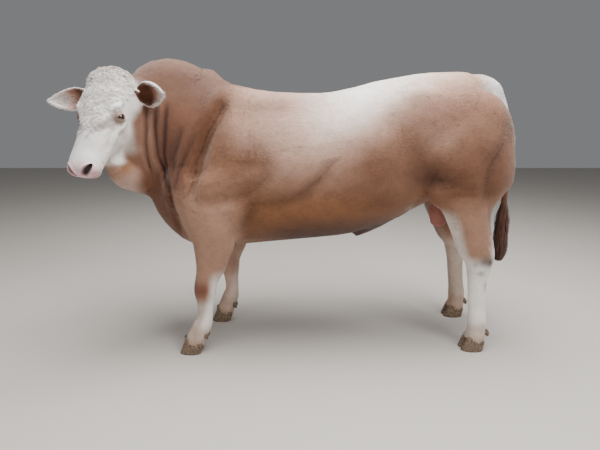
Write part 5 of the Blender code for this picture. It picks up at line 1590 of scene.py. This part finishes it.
def make_scrotum():
    """A hanging pouch with two lobes, a shallow seam between them and level wrinkles."""
    points, faces = loft(SCROTUM, ahead=(1, 0, 0), steps=70, around=64, cap=0.5, domes=12)
    x, y, z = points.T
    lobe = -0.010 * bell(y, 0.010) * swell(0.84 - z, 0, 0.06)
    wander = 14 * np.sin(y * 45 + 2 * np.cos(x * 70))
    wrinkle = 0.0005 * np.sin(z * 420 + wander) * (0.4 + 0.6 * np.sin(z * 75) ** 2)
    middle = np.array([0.822, 0, 0])
    away = unit((points - middle) * [1, 1, 0])
    points = points + away * (lobe + wrinkle - 0.001)[:, None]
    finish, tree, shader = material("thin haired scrotal skin")
    where = node(tree, "TexCoord")
    # Thin warm skin under sparse hair has a soft shine and wrinkles about 5 mm apart
    grain = node(tree, "TexNoise", Vector=where.outputs["Object"], Scale=200.0, Detail=3.0)
    ramp = node(tree, "ValToRGB", Fac=grain.outputs["Fac"])
    ramp.color_ramp.elements[0].color = (*linear("#7C4436"), 1)
    ramp.color_ramp.elements[1].color = (*linear("#B5796A"), 1)
    bump = node(tree, "Bump", Height=grain.outputs["Fac"], Strength=0.4, Distance=0.001)
    plug(shader, Base_Color=ramp.outputs["Color"], Normal=bump.outputs[0], Roughness=0.6)
    finished("scrotum_pouch", mesh_of("pouch", points, faces), finish, ("scrotum",))


def make_small_hair(skin, finish, lashes):
    """Lashes, the tuft on the sheath and the fringe over each coronet."""
    random = np.random.default_rng(51)
    count = SHEATH_HAIRS
    points, _ = read(skin)
    tip = points[np.argmin(gap_from(points, [0.345, 0, 0.58]))]
    root = tip + random.normal(0, 1, (count, 3)) * [0.009, 0.006, 0.002] + [0, 0, 0.008]
    away = unit(np.stack([random.normal(-0.5, 0.3, count), random.normal(0, 0.4, count),
                          np.full(count, -0.2)], 1))
    sheath = locks(root, away, np.tile([-0.15, 0, -1.0], (count, 1)) + random.normal(0, 0.2, (count, 3)),
                   random.uniform(0.03, 0.055, count), 0.0032, 0.0016, 0.05,
                   curl=random.normal(0, 0.4, count), rings=4)
    add_hair("sheath_tuft", [sheath], finish, around_body, seed=52,
             colour=lambda at: np.tile(DARK_GOLD, (len(at), 1)))
    add_hair("lashes", lashes, finish, around_head, seed=53,
             colour=lambda at: np.tile(SOILED_AND_SHADE, (len(at), 1)))
    fringe = []
    for x, y, name in FEET:
        count = FRINGE_HAIRS
        angle = random.uniform(0, 2 * math.pi, count)
        toe = np.cos(angle)
        place = np.stack([x - 0.054 * toe, y + 0.052 * np.sin(angle), CORONET_HEIGHT + 0.016 * toe + 0.010
                          + random.normal(0, 0.003, count)], 1)
        away = unit(np.stack([-toe, np.sin(angle), np.full(count, 0.15)], 1))
        lay = np.tile([0.0, 0, -1.0], (count, 1)) + random.normal(0, 0.2, (count, 3))
        fringe.append(locks(place, away, lay, random.uniform(0.012, 0.024, count), 0.0028, 0.0012, 0.06))
    add_hair("coronet_fringe", fringe, finish, around_legs, seed=54)


def set_stage():
    """A pale floor, soft lights and the camera."""
    floor = mesh_of("floor", np.array([(-12, -12, 0), (12, -12, 0), (12, 12, 0), (-12, 12, 0)], float),
                    np.array([(0, 1, 2, 3)]))
    finish, _, shader = material("pale matt floor")
    plug(shader, Base_Color=(*linear("#B9B3AC"), 1), Roughness=0.9)
    floor.materials.append(finish)
    obj = placed("floor", floor)
    world = bpy.data.worlds.new("pale room")
    world.use_nodes = True
    plug(world.node_tree.nodes["Background"], Color=(*linear("#E4E6E8"), 1), Strength=0.26)
    bpy.context.scene.world = world
    for name, place, aim, size, power in (
        ("overhead", (0.5, -0.3, 4.6), (0.2, 0, 0.8), 3.4, 470),
        ("key", (2.6, -3.2, 3.6), (0.1, 0, 1.0), 2.0, 125),
        ("fill", (-2.8, -2.8, 1.9), (-0.8, 0, 1.3), 2.0, 30),
    ):
        light = bpy.data.lights.new(name, "AREA")
        light.size = size
        light.energy = power
        lamp = placed(name, light)
        lamp.location = Vector(place)
        lamp.rotation_euler = (Vector(aim) - Vector(place)).to_track_quat("-Z", "Y").to_euler()
    camera = bpy.data.cameras.new("camera")
    camera.lens = LENS
    camera.sensor_width = FILM
    view = placed("camera", camera)
    view.location = Vector(CAMERA) + Vector(SHIFT)
    view.rotation_euler = (math.radians(90 - CAMERA_TILT), 0, 0)
    bpy.context.scene.camera = view


FLESH = ["head", "neck", "torso", "ear_left", "ear_right", "foreleg_left", "foreleg_right", "hindleg_left",
         "hindleg_right", "tail"]

skin = make_skin()
hide = hair_hide("short hair over hide")
tufts = hair_hide("short hair in tufts", bump=0.2, muzzle=False)
make_coat(skin, tufts)
points, _ = read(skin)
give(skin, "coat", np.clip(coat_colour(points), 0, 1))
give(skin, "wet", wetness(points))
finished("skin", skin, hide, FLESH)
lashes = make_eyes()
make_switch(tufts)
make_hooves()
make_scrotum()
make_small_hair(skin, tufts, lashes)
set_stage()
